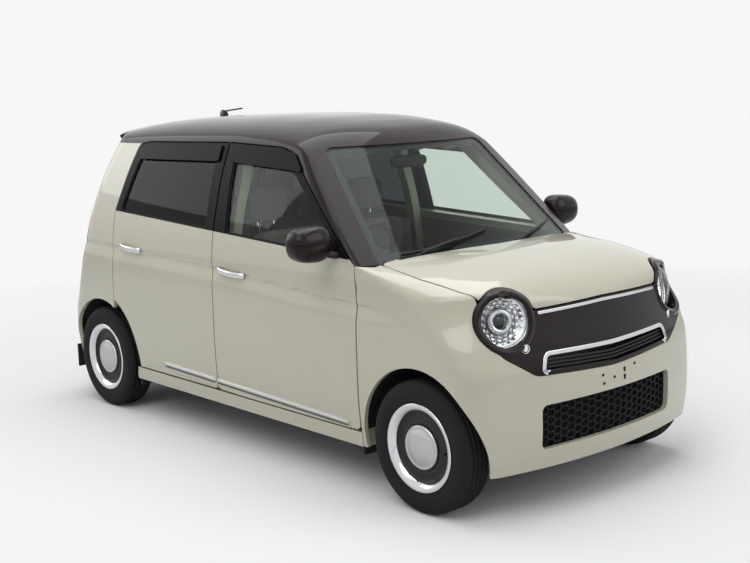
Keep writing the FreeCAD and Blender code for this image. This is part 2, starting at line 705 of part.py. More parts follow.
GRILLE_SLOT = [(-402, 604, 10), (0, 584, 600), (402, 604, 10), (380, 662, 24), (0, 654, 600), (-380, 662, 24)]


def grille_panel():
    skin = nose(0).common(goggle_tool(0)).cut(nose(BONNET_T))
    skin = skin.cut([front_prism(GRILLE_SLOT, 1380, 1800), both(lamp_cylinder(LAMP_R + 3, 200, 200))])
    bars = []
    for share in (0.33, 0.66):
        low = 604 + (662 - 604) * share
        bars.append(front_prism([(-396, low - 3, 0), (0, low - 23, 0), (396, low - 3, 0), (396, low + 3, 0),
                                 (0, low - 17, 0), (-396, low + 3, 0)], 1380, 1800))
    slats = nose_wrap(6, BONNET_T).common(Part.makeCompound(bars))
    return max(skin.fuse(slats.Solids).Solids, key=lambda s: s.Volume)


def grille_mouldings():
    """Two bright strips that stand on the nose panel."""
    around = front_prism(grown(GRILLE_SLOT, 15), 1380, 1800).cut(front_prism(grown(GRILLE_SLOT, 1), 1380, 1800))
    around = around.cut(front_prism([(-390, 500, 0), (390, 500, 0), (390, 600, 0), (0, 640, 0), (-390, 600, 0)], 1380, 1800))
    top = front_prism([(-378, 820, 4), (0, 826, 0), (378, 820, 4), (378, 834, 4), (0, 840, 0), (-378, 834, 4)], 1380, 1800)
    return nose_wrap(-6, -SEAT_CLEARANCE).common(around.fuse(top))


def headlamp():
    """Domed lens and bowl of the left headlamp, as one sealed unit."""
    r = LAMP_R - SEAT_CLEARANCE + 3
    profile = [(0, -95), (55, -85), (r, -40), (r, 0), (r * 0.85, 21), (r * 0.5, 34), (0, 39)]
    points = [vec(radius, 0, z) for radius, z in profile]
    lamp = Part.Face(Part.makePolygon(points + points[:1])).revolve(vec(0, 0, 0), vec(0, 0, 1), 360)
    lamp.Placement = FreeCAD.Placement(LAMP_CENTRE, FreeCAD.Rotation(vec(0, 0, 1), LAMP_AXIS))
    return lamp


def bonnet_outline(grow):
    half = [(1060 - grow, 0), (1040 - grow, 300), (986 - grow, 600), (975 - grow, 640 + grow), (1225, 648 + grow),
            (1420, 628 + grow), (1530, 596 + grow), (1800, 480)]
    left = [(x, y, 0) for x, y in half]
    right = [(x, -y, 0) for x, y in reversed(half[1:])]
    return right + left


def bonnet_tool(grow):
    return plan_prism(bonnet_outline(grow), 780 - grow, 1100)


def bonnet():
    skin = nose(0).common(bonnet_tool(0)).cut(nose(BONNET_T))
    skin = skin.cut([goggle_tool(6)] + [block(900, 985, min(side * 560, side * 720), max(side * 560, side * 720), 900, 1100)
                                        for side in (-1, 1)])
    lugs = []
    for y in (-BONNET_LUG_Y, BONNET_LUG_Y):
        lug = side_prism([(BONNET_HINGE_X - 13, BONNET_HINGE_Z - 13, 12), (BONNET_HINGE_X + 120, BONNET_HINGE_Z - 13, 10),
                          (BONNET_HINGE_X + 120, 1010, 0), (BONNET_HINGE_X + 90, 1010, 0),
                          (BONNET_HINGE_X + 50, BONNET_HINGE_Z + 2, 0), (BONNET_HINGE_X + 20, BONNET_HINGE_Z + 2, 0),
                          (BONNET_HINGE_X + 8, BONNET_HINGE_Z + 13, 0), (BONNET_HINGE_X - 13, BONNET_HINGE_Z + 13, 12)],
                         y - 5, y + 5)
        lugs.append(lug.common(nose(2)).cut(y_cylinder(6.3, BONNET_HINGE_X, BONNET_HINGE_Z, -700, 700)))
    return max(skin.Solids, key=lambda s: s.Volume).fuse(lugs)


BONNET_HINGE_X = 950.0
BONNET_HINGE_Z = 960.0
BONNET_LUG_Y = 540.0


def fender():
    """Left front wing."""
    region = left_side([(DOOR_FRONT_X + PANEL_GAP, SILL_Z, 0), (FRONT_AXLE_X, SILL_Z, 0), (1492, 500, 0), (1530, 740, 0),
                        (1640, 1000, 0), (1640, 1100, 0), (885, 1100, 0), (885, 990, 0),
                        (DOOR_FRONT_X + PANEL_GAP, 320, 0)])
    skin = nose(0).common(region).cut(nose(SHEET_T))
    skin = skin.cut([bonnet_tool(PANEL_GAP), goggle_tool(SEAT_CLEARANCE), arch(FRONT_AXLE_X, ARCH_R),
                     left_side(grown(FRONT_DOOR, PANEL_GAP)), pillar_foot()])
    return max(skin.Solids, key=lambda s: s.Volume)


def pillar_foot():
    """Room in the wings for the feet of the screen pillars and the cowl."""
    return plan_prism([(1062, 0, 0), (975, 650, 0), (975, 900, 0), (700, 900, 0), (700, -900, 0), (975, -900, 0), (975, -650, 0)],
                      983, 1200)


INTAKE = [(-422, 285, 26), (422, 285, 26), (422, 466, 26), (-422, 466, 26)]


def front_bumper():
    region = side_prism([(1530.3, 740.5, 0), (1492.3, 500, 0), (1400, SILL_Z, 0), (1900, SILL_Z - 12, 0), (1900, 850, 0), (1590, 850, 0)],
                        -OUT_Y, OUT_Y)
    skin = nose(0).common(region).cut(nose(BUMPER_T))
    holes = [x_cylinder(PLATE_HOLE_R, y, PLATE_Z, 1600, 1800) for y in (-PLATE_HOLE_SPACING / 2, PLATE_HOLE_SPACING / 2)]
    skin = skin.cut([goggle_tool(SEAT_CLEARANCE), arch(FRONT_AXLE_X, ARCH_R), front_prism(INTAKE, 1400, 1800)] + holes)
    return max(skin.Solids, key=lambda s: s.Volume)


def lower_grille():
    """Barred grille behind the bumper's intake."""
    plate = nose_wrap(BUMPER_T + 0.9, BUMPER_T + 12).common(front_prism(grown(INTAKE, 14), 1400, 1800))
    windows = []
    for row in range(5):
        for column in range(8):
            y = -400 + column * 100
            z = 294 + row * 34
            windows.append(block(1400, 1800, y + 4, y + 96, z, z + 26))
    return plate.cut(windows)


def front_frame():
    """Radiator carrier with two side rails, bumper arms and lamp brackets."""
    carrier = block(1500, 1516, -388, 388, 250, 790).cut(block(1400, 1600, -330, 330, 320, 640))
    parts = []
    for side in (-1, 1):
        y0, y1 = sorted((side * 345, side * 385))
        parts.append(block(DOOR_FRONT_X + 70 + SEAT_CLEARANCE, 1501, y0, y1, 430, 520))
        parts.append(block(1515, 1700, y0, y1, 480, 540))
        lamp0, lamp1 = sorted((side * 370, side * 560))
        parts.append(block(1500, 1516, lamp0, lamp1, 640, 690))
        post0, post1 = sorted((side * 490, side * 545))
        parts.append(block(1500, 1516, post0, post1, 680, 740))
    frame = carrier.fuse(parts).cut(both(lamp_cylinder(LAMP_R + 3.3, 80, 100)))
    return frame.common(nose(BONNET_T + SEAT_CLEARANCE))


def firewall():
    plate = nose(SHEET_T + SEAT_CLEARANCE).common(block(DOOR_FRONT_X + 56, DOOR_FRONT_X + 70, -OUT_Y, OUT_Y, 250, 940))
    return plate.cut(both(liner_tool(FRONT_AXLE_X)).Solids)


def cowl_panel():
    """Panel under the windscreen's base that carries the bonnet's hinge pins."""
    outline = [(1052, 0, 0), (1032, 300, 0), (985, 562, 0), (915, 562, 0), (935, 300, 0), (958, 0, 0)]
    full = outline + [(x, -y, 0) for x, y, _ in reversed(outline[1:-1])]
    plate = plan_prism(full, 940.3, 984).common(nose(BONNET_T + SEAT_CLEARANCE))
    pockets = []
    pins = []
    for y in (-BONNET_LUG_Y, BONNET_LUG_Y):
        pockets.append(block(BONNET_HINGE_X - 22, 1100, y - 12, y + 12, 900, 1000))
        pins.append(y_cylinder(6, BONNET_HINGE_X, BONNET_HINGE_Z, y - 13, y + 13))
    return plate.cut(pockets).fuse(pins)


def wheel_tyre():
    """Tyre with flat shoulders."""
    half = TYRE_W / 2
    seat = RIM_SEAT_R + SEAT_CLEARANCE
    return y_revolve([(seat, -half + 12), (TYRE_R - 30, -half), (TYRE_R, -half + 24), (TYRE_R, half - 24),
                      (TYRE_R - 30, half), (seat, half - 12)], 0, 0)


def wheel_rim():
    """Pressed wheel with a bright outer ring and a domed cap; +Y is outwards."""
    half = TYRE_W / 2
    profile = [(RIM_SEAT_R, -half + 12), (RIM_SEAT_R, half - 12), (RIM_SEAT_R + 7, half - 8), (RIM_SEAT_R + 7, half - 4),
               (RIM_SEAT_R - 6, half - 2), (150, half - 22), (132, half - 42), (100, half - 34), (94, half - 30),
               (88, half - 18), (60, half - 10), (0, half - 7), (0, half - 42), (120, half - 48), (150, half - 46),
               (168, half - 60), (RIM_SEAT_R - 8, -half + 30), (RIM_SEAT_R - 8, -half + 12)]
    return y_revolve(profile, 0, 0)


HUB_FACE = TYRE_W / 2 - 48.0


def knuckle():
    """Left front knuckle with its brake disc; the wheel turns on its stub."""
    y = WHEEL_Y + HUB_FACE - SEAT_CLEARANCE - 0.5
    hub = y_cylinder(58, FRONT_AXLE_X, TYRE_R, y - 34, y)
    disc = y_cylinder(112, FRONT_AXLE_X, TYRE_R, y - 30, y - 20)
    carrier = block(FRONT_AXLE_X - 26, FRONT_AXLE_X + 26, KING_PIN_Y - 22, y - 30, TYRE_R - 62, TYRE_R + 62)
    pin = Part.makeCylinder(20, 176, vec(FRONT_AXLE_X, KING_PIN_Y, TYRE_R - 88))
    return hub.fuse([disc, carrier, pin])


KING_PIN_Y = 592.0


STRUT_Y = 520.0


def front_suspension():
    """Crossmember hung from the side rails, two lower arms and two struts."""
    low = TYRE_R - 88 - SEAT_CLEARANCE
    high = TYRE_R + 88 + SEAT_CLEARANCE
    member = block(FRONT_AXLE_X - 90, FRONT_AXLE_X + 90, -388, 388, low - 30, low + 10)
    parts = []
    for side in (-1, 1):
        pivot = vec(FRONT_AXLE_X, side * KING_PIN_Y, low - 12)
        for x in (FRONT_AXLE_X - 60, FRONT_AXLE_X + 60):
            parts.append(tube_between(vec(x, side * 370, low - 12), pivot, 12))
        parts.append(Part.makeCylinder(24, 24, vec(FRONT_AXLE_X, side * KING_PIN_Y, low - 24)))
        y0, y1 = sorted((side * 352, side * 388))
        parts.append(block(FRONT_AXLE_X - 60, FRONT_AXLE_X + 60, y0, y1, low, 430 - SEAT_CLEARANCE))
    struts = []
    for side in (-1, 1):
        y0, y1 = sorted((side * (STRUT_Y - 15), side * (KING_PIN_Y + 20)))
        plate = block(FRONT_AXLE_X - 28, FRONT_AXLE_X + 28, y0, y1, high, high + 13)
        strut = Part.makeCylinder(24, 605 - high, vec(FRONT_AXLE_X, side * STRUT_Y, high))
        tower = Part.makeCylinder(45, 18, vec(FRONT_AXLE_X, side * STRUT_Y, 595))
        struts.append(plate.fuse([strut, tower]))
    return [member.fuse(parts)] + struts


def rear_axle():
    """Rear beam with a brake drum and a spring at each end and two trailing arms."""
    y = WHEEL_Y + HUB_FACE - SEAT_CLEARANCE - 0.5
    beam_x = REAR_AXLE_X + 60
    beam = y_cylinder(34, beam_x, TYRE_R - 31, -540, 540)
    top = FLOOR_Z - SEAT_CLEARANCE
    parts = []
    for side in (-1, 1):
        y0, y1 = sorted((side * (y - 70), side * y))
        parts.append(y_cylinder(105, REAR_AXLE_X, TYRE_R, y0, y1))
        arm_y = side * 505
        parts.append(side_prism([(REAR_AXLE_X - 30, 236, 0), (-860, 206, 0), (-700, 206, 0), (-700, top, 0), (-800, top, 0),
                                 (-860, 284, 0), (REAR_AXLE_X - 30, 284, 0)], arm_y - 22, arm_y + 22))
        parts.append(y_cylinder(60, REAR_AXLE_X, TYRE_R, min(side * 482, side * (y - 60)), max(side * 482, side * (y - 60))))
        parts.append(Part.makeCylinder(45, LOAD_FLOOR_Z - SEAT_CLEARANCE - 255, vec(beam_x, side * 405, 255)))
    return beam.fuse(parts)


FLOOR_Z = 245.0
FLOOR_T = 20.0
LOAD_FLOOR_Z = FLOOR_Z + 210.0
INNER_Y = 560.0


def floor_pan():
    """Stepped floor with a middle tunnel, a raised load floor and a low rear panel."""
    x0 = REAR_AXLE_X + 480
    front = DOOR_FRONT_X + 55.7
    profile = [(front, FLOOR_Z), (x0, FLOOR_Z), (x0 - 60, LOAD_FLOOR_Z), (-1622, LOAD_FLOOR_Z), (-1622, 556), (-1602, 556),
               (-1602, LOAD_FLOOR_Z + FLOOR_T), (x0 - 48, LOAD_FLOOR_Z + FLOOR_T), (x0 + 12, FLOOR_Z + FLOOR_T),
               (front, FLOOR_Z + FLOOR_T)]
    pan = side_prism([(x, z, 0) for x, z in profile], -INNER_Y, INNER_Y)
    tunnel = front_prism([(-110, FLOOR_Z + 1, 0), (110, FLOOR_Z + 1, 0), (80, FLOOR_Z + 110, 30), (-80, FLOOR_Z + 110, 30)],
                         x0 - 45, front)
    hollow = front_prism([(-90, FLOOR_Z - 10, 0), (90, FLOOR_Z - 10, 0), (62, FLOOR_Z + 94, 24), (-62, FLOOR_Z + 94, 24)],
                         x0 - 58, front + 10)
    sides = [block(-880, front, min(s * 559, s * 569), max(s * 559, s * 569), FLOOR_Z, FLOOR_Z + FLOOR_T) for s in (-1, 1)]
    corners = [plan_prism([(-1720, side * 380, 0), (-1720, side * 640, 0), (-1490, side * 640, 0)], 300, 700) for side in (-1, 1)]
    return pan.fuse([tunnel] + sides).cut([hollow] + corners + both(liner_tool(REAR_AXLE_X)).Solids)


def arch_liners():
    """Inner wheel arches: half tubes closed on their inner side."""
    liners = []
    for x, inner_y, skin in ((FRONT_AXLE_X, FRONT_LINER_Y, nose), (REAR_AXLE_X, REAR_LINER_Y, cabin)):
        tube = y_cylinder(LINER_R, x, TYRE_R, inner_y, OUT_Y).cut(y_cylinder(ARCH_R + 8, x, TYRE_R, inner_y + 6, OUT_Y))
        tube = tube.cut(block(x - 500, x + 500, 0, OUT_Y, 0, TYRE_R + 10))
        tube = tube.common(skin(BUMPER_T + 4))
        liners.append(tube)
    liners += [mirror(s) for s in list(liners)]
    return liners


def dashboard():
    profile = [(DOOR_FRONT_X + 55.7, 640, 0), (DOOR_FRONT_X + 55.7, 930, 0), (905, 939.5, 0), (860, 962, 20), (700, 958, 40), (640, 900, 30),
               (680, 780, 30), (700, 640, 30)]
    body = side_prism(profile, -560, 560)
    column = tube_between(WHEEL_CENTRE - WHEEL_AXIS * 260, COLUMN_END, 26)
    return body.fuse(column)


DRIVER_Y = -330.0
WHEEL_CENTRE = vec(505, DRIVER_Y, 950)
WHEEL_TILT = 27.0
WHEEL_AXIS = vec(-math.cos(math.radians(WHEEL_TILT)), 0, math.sin(math.radians(WHEEL_TILT)))
COLUMN_END = WHEEL_CENTRE - WHEEL_AXIS * 30.3


def steering_wheel():
    rim = Part.makeTorus(178, 14, vec(0, 0, 0), vec(0, 0, 1))
    hub = Part.makeCylinder(48, 34, vec(0, 0, -30))
    spokes = []
    for angle in (90, 210, 330):
        spoke = block(30, 172, -14, 14, -8, 4)
        spoke.rotate(vec(0, 0, 0), vec(0, 0, 1), angle + 90)
        spokes.append(spoke)
    wheel = rim.fuse([hub] + spokes)
    wheel.Placement = FreeCAD.Placement(WHEEL_CENTRE, FreeCAD.Rotation(vec(0, 0, 1), WHEEL_AXIS))
    return wheel


def seat(y, x):
    """One front seat: cushion, back and headrest in one solid, on two runners."""
    cushion = side_prism([(x - 240, 400, 30), (x + 250, 420, 40), (x + 250, 540, 50), (x - 240, 500, 30)], y - 228, y + 228)
    back = side_prism([(x - 250, 440, 40), (x - 130, 470, 40), (x - 290, 1040, 50), (x - 390, 1030, 50)], y - 222, y + 222)
    rest = side_prism([(x - 385, 1075, 30), (x - 290, 1075, 30), (x - 305, 1240, 32), (x - 388, 1235, 32)], y - 125, y + 125)
    posts = [tube_between(vec(x - 338, y + s * 50, 1020), vec(x - 342, y + s * 50, 1090), 7) for s in (-1, 1)]
    runners = [block(x - 200, x + 200, y + s * 190 - 16, y + s * 190 + 16, FLOOR_Z + FLOOR_T + SEAT_CLEARANCE, 420) for s in (-1, 1)]
    return cushion.fuse([back, rest] + posts + runners)


def rear_seat():
    x = -560
    cushion = side_prism([(x - 230, 480, 30), (x + 230, 470, 40), (x + 230, 570, 50), (x - 230, 545, 30)], -530, 530)
    back = side_prism([(x - 240, 480, 40), (x - 130, 500, 40), (x - 270, 1010, 50), (x - 370, 1000, 50)], -530, 530)
    foot_z = FLOOR_Z + FLOOR_T + SEAT_CLEARANCE
    stands = []
    for x0, top in ((x - 200, 520), (x + 120, 490)):
        for side in (-1, 1):
            stands.append(block(x0, x0 + 34, min(side * 130, side * 500), max(side * 130, side * 500), foot_z, top))
    rests = []
    for y in (-300, 300):
        rests.append(side_prism([(x - 372, 1025, 20), (x - 290, 1025, 20), (x - 305, 1150, 30), (x - 375, 1145, 30)], y - 120, y + 120))
        rests.append(tube_between(vec(x - 325, y, 990), vec(x - 333, y, 1040), 8))
    return cushion.fuse([back] + stands + rests)


def engine_block():
    """Engine and gearbox as one plain block on two mounts."""
    low = TYRE_R - 78
    feet = [block(FRONT_AXLE_X - 30, FRONT_AXLE_X + 30, y - 30, y + 30, low, 300) for y in (-180, 180)]
    return block(1040, 1440, -300, 320, 290, 760).fuse(feet)


def fuel_tank():
    tank = side_prism([(60, 160, 30), (560, 160, 30), (560, FLOOR_Z - 0.3, 10), (60, FLOOR_Z - 0.3, 10)], 120, 480)
    return tank


def exhaust():
    """Pipe down the tunnel to a silencer ahead of the rear bumper."""
    silencer = Part.makeCylinder(75, 420, vec(-1500, 40, 360), vec(0, 1, 0))
    pipe = tube_between(vec(960, 0, 300), vec(-880, 0, 300), 20)
    rear = tube_between(vec(-880, 0, 300), vec(-1440, 120, 345), 20)
    tail = tube_between(vec(-1500, 430, 330), vec(-1615, 430, 275), 17)
    hanger = Part.makeCylinder(8, LOAD_FLOOR_Z - SEAT_CLEARANCE - 420, vec(-1500, 250, 420))
    return silencer.fuse([pipe, rear, tail, hanger, Part.makeSphere(20, vec(-880, 0, 300))])


def antenna():
    x = -1040
    z = smooth(ROOF_CROWN, x) - 4
    base = Part.makeCone(24, 12, 34, vec(x, 0, z))
    mast = tube_between(vec(x, 0, z + 26), vec(x + 185, 0, z + 50), 4)
    return base.fuse(mast).cut(roof_band(-SEAT_CLEARANCE, 60))


def export(name, shape):
    solids = shape.Solids if not isinstance(shape, list) else [s for one in shape for s in one.Solids]
    result = solids[0] if len(solids) == 1 else Part.makeCompound(solids)
    result.exportStep("parts/" + name + ".step")
    print(f"{name:20s} solids {len(solids)} valid {result.isValid()} litres {result.Volume / 1e6:7.2f}", flush=True)


def export_pair(name, shape):
    export(name + "_left", shape)
    export(name + "_right", mirror(shape))


def placed_wheel(shape, x, side):
    wheel = shape.copy()
    if side < 0:
        wheel = wheel.mirror(vec(0, 0, 0), vec(0, 1, 0))
    wheel.translate(vec(x, side * WHEEL_Y, TYRE_R))
    return wheel


def main():
    os.makedirs("parts", exist_ok=True)
    export_pair("side_frame", side_frame())
    export_pair("quarter", quarter())
    export("roof_panel", roof_panel())
    export("windscreen", windscreen())
    export_pair("door_front", door(FRONT_DOOR, FRONT_WINDOW, FRONT_HINGE_X))
    export_pair("door_rear", door(REAR_DOOR, REAR_WINDOW, REAR_HINGE_X))
    export_pair("glass_front", door_glass(FRONT_WINDOW))
    export_pair("glass_rear", door_glass(REAR_WINDOW))
    export_pair("mirror", door_mirror())
    export("tailgate", tailgate())
    export("tailgate_glass", tailgate_glass())
    export("tailgate_spoiler", tailgate_spoiler())
    export("rear_bumper", rear_bumper())
    export_pair("tail_lamp", tail_lamp())
    export("bonnet", bonnet())
    export_pair("fender", fender())
    export("front_bumper", front_bumper())
    export("grille_panel", grille_panel())
    export("grille_mouldings", grille_mouldings())
    export("lower_grille", lower_grille())
    export_pair("headlamp", headlamp())
    export("front_frame", front_frame())
    export("firewall", firewall())
    export("cowl_panel", cowl_panel())
    export("floor_pan", floor_pan())
    export("arch_liners", arch_liners())
    export("dashboard", dashboard())
    export("steering_wheel", steering_wheel())
    export("front_seats", [seat(DRIVER_Y, 100), seat(-DRIVER_Y, 100)])
    export("rear_seat", rear_seat())
    export("engine_block", engine_block())
    member, strut_right, strut_left = front_suspension()
    export("front_suspension", member)
    export("strut_left", strut_left)
    export("strut_right", strut_right)
    export("rear_axle", rear_axle())
    export("fuel_tank", fuel_tank())
    export("exhaust", exhaust())
    export("antenna", antenna())
    export_pair("knuckle", knuckle())
    tyre = wheel_tyre()
    rim = wheel_rim()
    for place, x in (("front", FRONT_AXLE_X), ("rear", REAR_AXLE_X)):
        for hand, side in (("left", 1), ("right", -1)):
            export(f"tyre_{place}_{hand}", placed_wheel(tyre, x, side))
            export(f"rim_{place}_{hand}", placed_wheel(rim, x, side))


main()
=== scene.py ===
import bmesh
import bpy
import math
import numpy as np
from mathutils import Matrix, Vector


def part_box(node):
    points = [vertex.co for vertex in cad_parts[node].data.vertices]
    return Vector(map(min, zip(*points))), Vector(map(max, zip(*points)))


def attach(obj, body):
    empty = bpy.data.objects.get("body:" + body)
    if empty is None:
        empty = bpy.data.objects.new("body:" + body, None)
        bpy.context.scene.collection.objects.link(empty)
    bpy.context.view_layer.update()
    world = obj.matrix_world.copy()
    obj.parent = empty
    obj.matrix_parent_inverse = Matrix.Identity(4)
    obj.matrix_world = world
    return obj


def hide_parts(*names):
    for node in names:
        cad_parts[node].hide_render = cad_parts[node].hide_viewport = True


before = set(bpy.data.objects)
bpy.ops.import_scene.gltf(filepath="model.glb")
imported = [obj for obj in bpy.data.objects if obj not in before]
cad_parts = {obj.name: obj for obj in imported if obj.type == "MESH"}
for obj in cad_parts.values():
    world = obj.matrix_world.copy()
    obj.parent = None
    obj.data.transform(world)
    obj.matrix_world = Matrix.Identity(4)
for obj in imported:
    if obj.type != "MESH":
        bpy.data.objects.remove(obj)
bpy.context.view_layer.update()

bl_info = {
    "name": "Small two-tone car",
    "version": (1, 0, 0),
    "blender": (4, 5, 0),
    "location": "View3D > Sidebar > Car",
    "description": "Builds the painted body, glass, lamps, wheels and cabin of a small five-door car",
    "category": "Add Mesh",
}

MM = 0.001
SIDE_VIEW = (0, 2)
END_VIEW = (1, 2)
PLAN = (0, 1)
FRONT_AXLE = 1.2625
REAR_AXLE = -1.2575
WHEEL_Y = 0.6525
AXLE_Z = 0.2785
SIDES = (("left", 1), ("right", -1))

# Outer skin of the body: pairs of station and value, in millimetres.
SIDE = [(100, 700), (205, 714), (300, 726), (450, 736), (620, 737.5), (750, 735), (880, 727),
        (1000, 713), (1100, 693), (1200, 669), (1330, 633), (1467, 583), (1650, 510)]
ROOF_CROWN = [(-1900, 1400), (-1500, 1505), (-1250, 1558), (-1000, 1583), (-600, 1599), (-230, 1602),
              (100, 1592), (300, 1567), (420, 1535), (520, 1497), (650, 1442), (850, 1352), (1150, 1210)]
ROOF_RAIL = [(-1900, 1380), (-1500, 1440), (-1250, 1466), (-980, 1478), (-205, 1488), (200, 1474),
             (330, 1458), (450, 1430), (560, 1390), (750, 1300), (1150, 1080)]
HOOD_CROWN = [(700, 1010), (900, 1016), (1060, 1022), (1209, 1020), (1323, 1006), (1434, 982), (1515, 953),
              (1575, 915), (1612, 877), (1640, 830), (1680, 730), (1800, 430)]
HOOD_SHOULDER = [(700, 12), (880, 30), (1000, 70), (1120, 110), (1250, 145), (1450, 165), (1800, 165)]
NOSE = [(100, 1655), (205, 1680), (280, 1692), (380, 1697.5), (480, 1696), (600, 1688), (690, 1668),
        (770, 1646), (840, 1630), (950, 1622), (1100, 1618)]
NOSE_CORNER = [(100, 110), (380, 120), (600, 135), (700, 175), (800, 260), (900, 300), (1100, 310)]
TAIL = [(100, -1645), (205, -1676), (300, -1693), (390, -1697.5), (500, -1690), (620, -1650), (770, -1604),
        (920, -1551), (1125, -1492), (1250, -1445), (1360, -1394), (1470, -1336), (1560, -1288),
        (1700, -1200)]


BELT_FRONT = (878, 1005)
BELT_REAR = (-1067, 1099)


def belt_z(x):
    """Height of the window line at x, both in millimetres."""
    share = (x - BELT_FRONT[0]) / (BELT_REAR[0] - BELT_FRONT[0])
    return BELT_FRONT[1] + share * (BELT_REAR[1] - BELT_FRONT[1])


def over_belt(p):
    """How far points lie above the window line."""
    return p[:, 2] - belt_z(p[:, 0] / MM) * MM


# Outlines in millimetres: two coordinates and a corner radius.
FRONT_DOOR = [(905, 283, 25), (905, 860, 60), (881, 985, 20), (850, 1008, 30), (352, 1440, 40),
              (262, 1462, 60), (-162, 1478, 6), (-164, 1060, 60), (-147, 700, 60), (-147, 283, 25)]
REAR_DOOR = [(-155, 283, 25), (-155, 700, 60), (-172, 1060, 60), (-172, 1478, 6), (-900, 1470, 50),
             (-985, 1455, 40), (-1105, 1110, 60), (-1105, 283, 0)]
FRONT_WINDOW = [(812, belt_z(812) + 6, 14), (330, 1412, 40), (262, 1424, 30), (-98, 1436, 14),
                (-72, belt_z(-72) + 6, 14)]
REAR_WINDOW = [(-236, belt_z(-236) + 6, 14), (-240, 1438, 14), (-880, 1432, 30), (-935, 1420, 30),
               (-1052, belt_z(-1052) + 24, 10), (-1024, belt_z(-1024) + 6, 10)]
TAILGATE = [(-470, 560, 60), (470, 560, 60), (556, 690, 90), (560, 1120, 200), (500, 1560, 30),
            (-500, 1560, 30), (-560, 1120, 200), (-556, 690, 90)]
TAIL_WINDOW = [(-420, 1080, 60), (420, 1080, 60), (500, 1130, 80), (452, 1408, 70), (-452, 1408, 70),
               (-500, 1130, 80)]
TAIL_LAMP = [(-1345, 1105, 60), (-1900, 1105, 0), (-1900, 775, 0), (-1462, 775, 60)]
GOGGLE = [(-636, 812, 20), (-604, 690, 120), (-440, 588, 60), (0, 566, 600), (440, 588, 60), (604, 690, 120),
          (636, 812, 20), (385, 840, 30), (0, 846, 0), (-385, 840, 30)]
GRILLE_SLOT = [(-402, 604, 10), (0, 584, 600), (402, 604, 10), (380, 662, 24), (0, 654, 600),
               (-380, 662, 24)]
INTAKE = [(-422, 285, 26), (422, 285, 26), (422, 466, 26), (-422, 466, 26)]
SCREEN = [(-617, 985, 20), (617, 985, 20), (497, 1462, 50), (-497, 1462, 50)]
BONNET_HALF = [(1060, 0), (1040, 300), (986, 600), (975, 640), (1225, 648), (1420, 628), (1530, 596),
               (1800, 480)]
BONNET_TIP = (2000, 470, 0)
BONNET_GAP = 3
BONNET_FLANGE = 8
# The windscreen's plane: its x on the middle line at 1 m up, its lean, its bow and the length of its slope.
SCREEN_X = 1.040
SCREEN_LEAN = 1.105
SCREEN_BOW = 0.32
SCREEN_SLOPE = 1.49
ARCH_R = 0.330
WING_ARCH = ARCH_R + 0.002
DOOR_ARCH = ARCH_R + 0.046
CARD_ARCH = ARCH_R + 0.085
# Room left beside the doors by wings and quarters, and by the roof.
DOOR_ROOM = 0.0075
ROOF_ROOM = 0.0065
LAMP = np.array((1.545, 0.517, 0.805))
LAMP_TOE = math.radians(25)
LAMP_RISE = math.radians(8)
LAMP_AXIS = np.array((math.cos(LAMP_TOE) * math.cos(LAMP_RISE), math.sin(LAMP_TOE) * math.cos(LAMP_RISE),
                      math.sin(LAMP_RISE)))
LAMP_R = 0.100
RING_R = 0.130


class Curve:
    """A shape-preserving cubic through pairs of station and value."""

    def __init__(self, pairs):
        data = np.array(pairs, float) * MM
        self.x = data[:, 0]
        self.y = data[:, 1]
        self.width = np.diff(self.x)
        slope = np.diff(self.y) / self.width
        self.tangent = np.zeros(len(self.x))
        self.tangent[0] = slope[0]
        self.tangent[-1] = slope[-1]
        for i in range(1, len(self.x) - 1):
            if slope[i - 1] * slope[i] > 0:
                w1 = 2 * self.width[i] + self.width[i - 1]
                w2 = self.width[i] + 2 * self.width[i - 1]
                self.tangent[i] = (w1 + w2) / (w1 / slope[i - 1] + w2 / slope[i])

    def __call__(self, x):
        x = np.clip(x, self.x[0], self.x[-1])
        i = np.clip(np.searchsorted(self.x, x, side="right") - 1, 0, len(self.width) - 1)
        t = (x - self.x[i]) / self.width[i]
        return ((1 + 2 * t) * (1 - t) ** 2 * self.y[i] + t * (1 - t) ** 2 * self.width[i] * self.tangent[i]
                + t * t * (3 - 2 * t) * self.y[i + 1] + t * t * (t - 1) * self.width[i] * self.tangent[i + 1])


side_y = Curve(SIDE)
roof_crown = Curve(ROOF_CROWN)
roof_rail = Curve(ROOF_RAIL)
hood_crown = Curve(HOOD_CROWN)
hood_shoulder = Curve(HOOD_SHOULDER)
nose_x = Curve(NOSE)
nose_corner = Curve(NOSE_CORNER)
tail_x = Curve(TAIL)


def slopes(shape, p, step=0.0008):
    """Gradient of a shape's distance at the points."""
    result = np.empty_like(p)
    for axis in range(3):
        ahead = p.copy()
        behind = p.copy()
        ahead[:, axis] += step
        behind[:, axis] -= step
        result[:, axis] = (shape(ahead) - shape(behind)) / (2 * step)
    return result


def tunnel(p, rail, rise, power):
    """Signed distance, roughly, from a section with barrelled sides and a rounded top."""
    x, y, z = p.T
    step = 0.001
    rails, rises, sides = rail(x), rise(x), side_y(z)
    across = np.abs(y) / sides
    above = np.maximum(z - rails, 0) / rises
    size = np.maximum(across ** power + above ** 2, 1e-9)
    gauge = size ** (1 / power)
    pull = gauge / size / power
    by_x = -pull * 2 * above * ((rail(x + step) - rails) + above * (rise(x + step) - rises)) / step / rises
    by_y = pull * power * across ** (power - 1) / sides
    by_z = pull * (2 * above / rises - power * across ** power * (side_y(z + step) - sides) / step / sides)
    return (gauge - 1) / np.maximum(np.sqrt(by_x ** 2 + by_y ** 2 + by_z ** 2), 0.3)


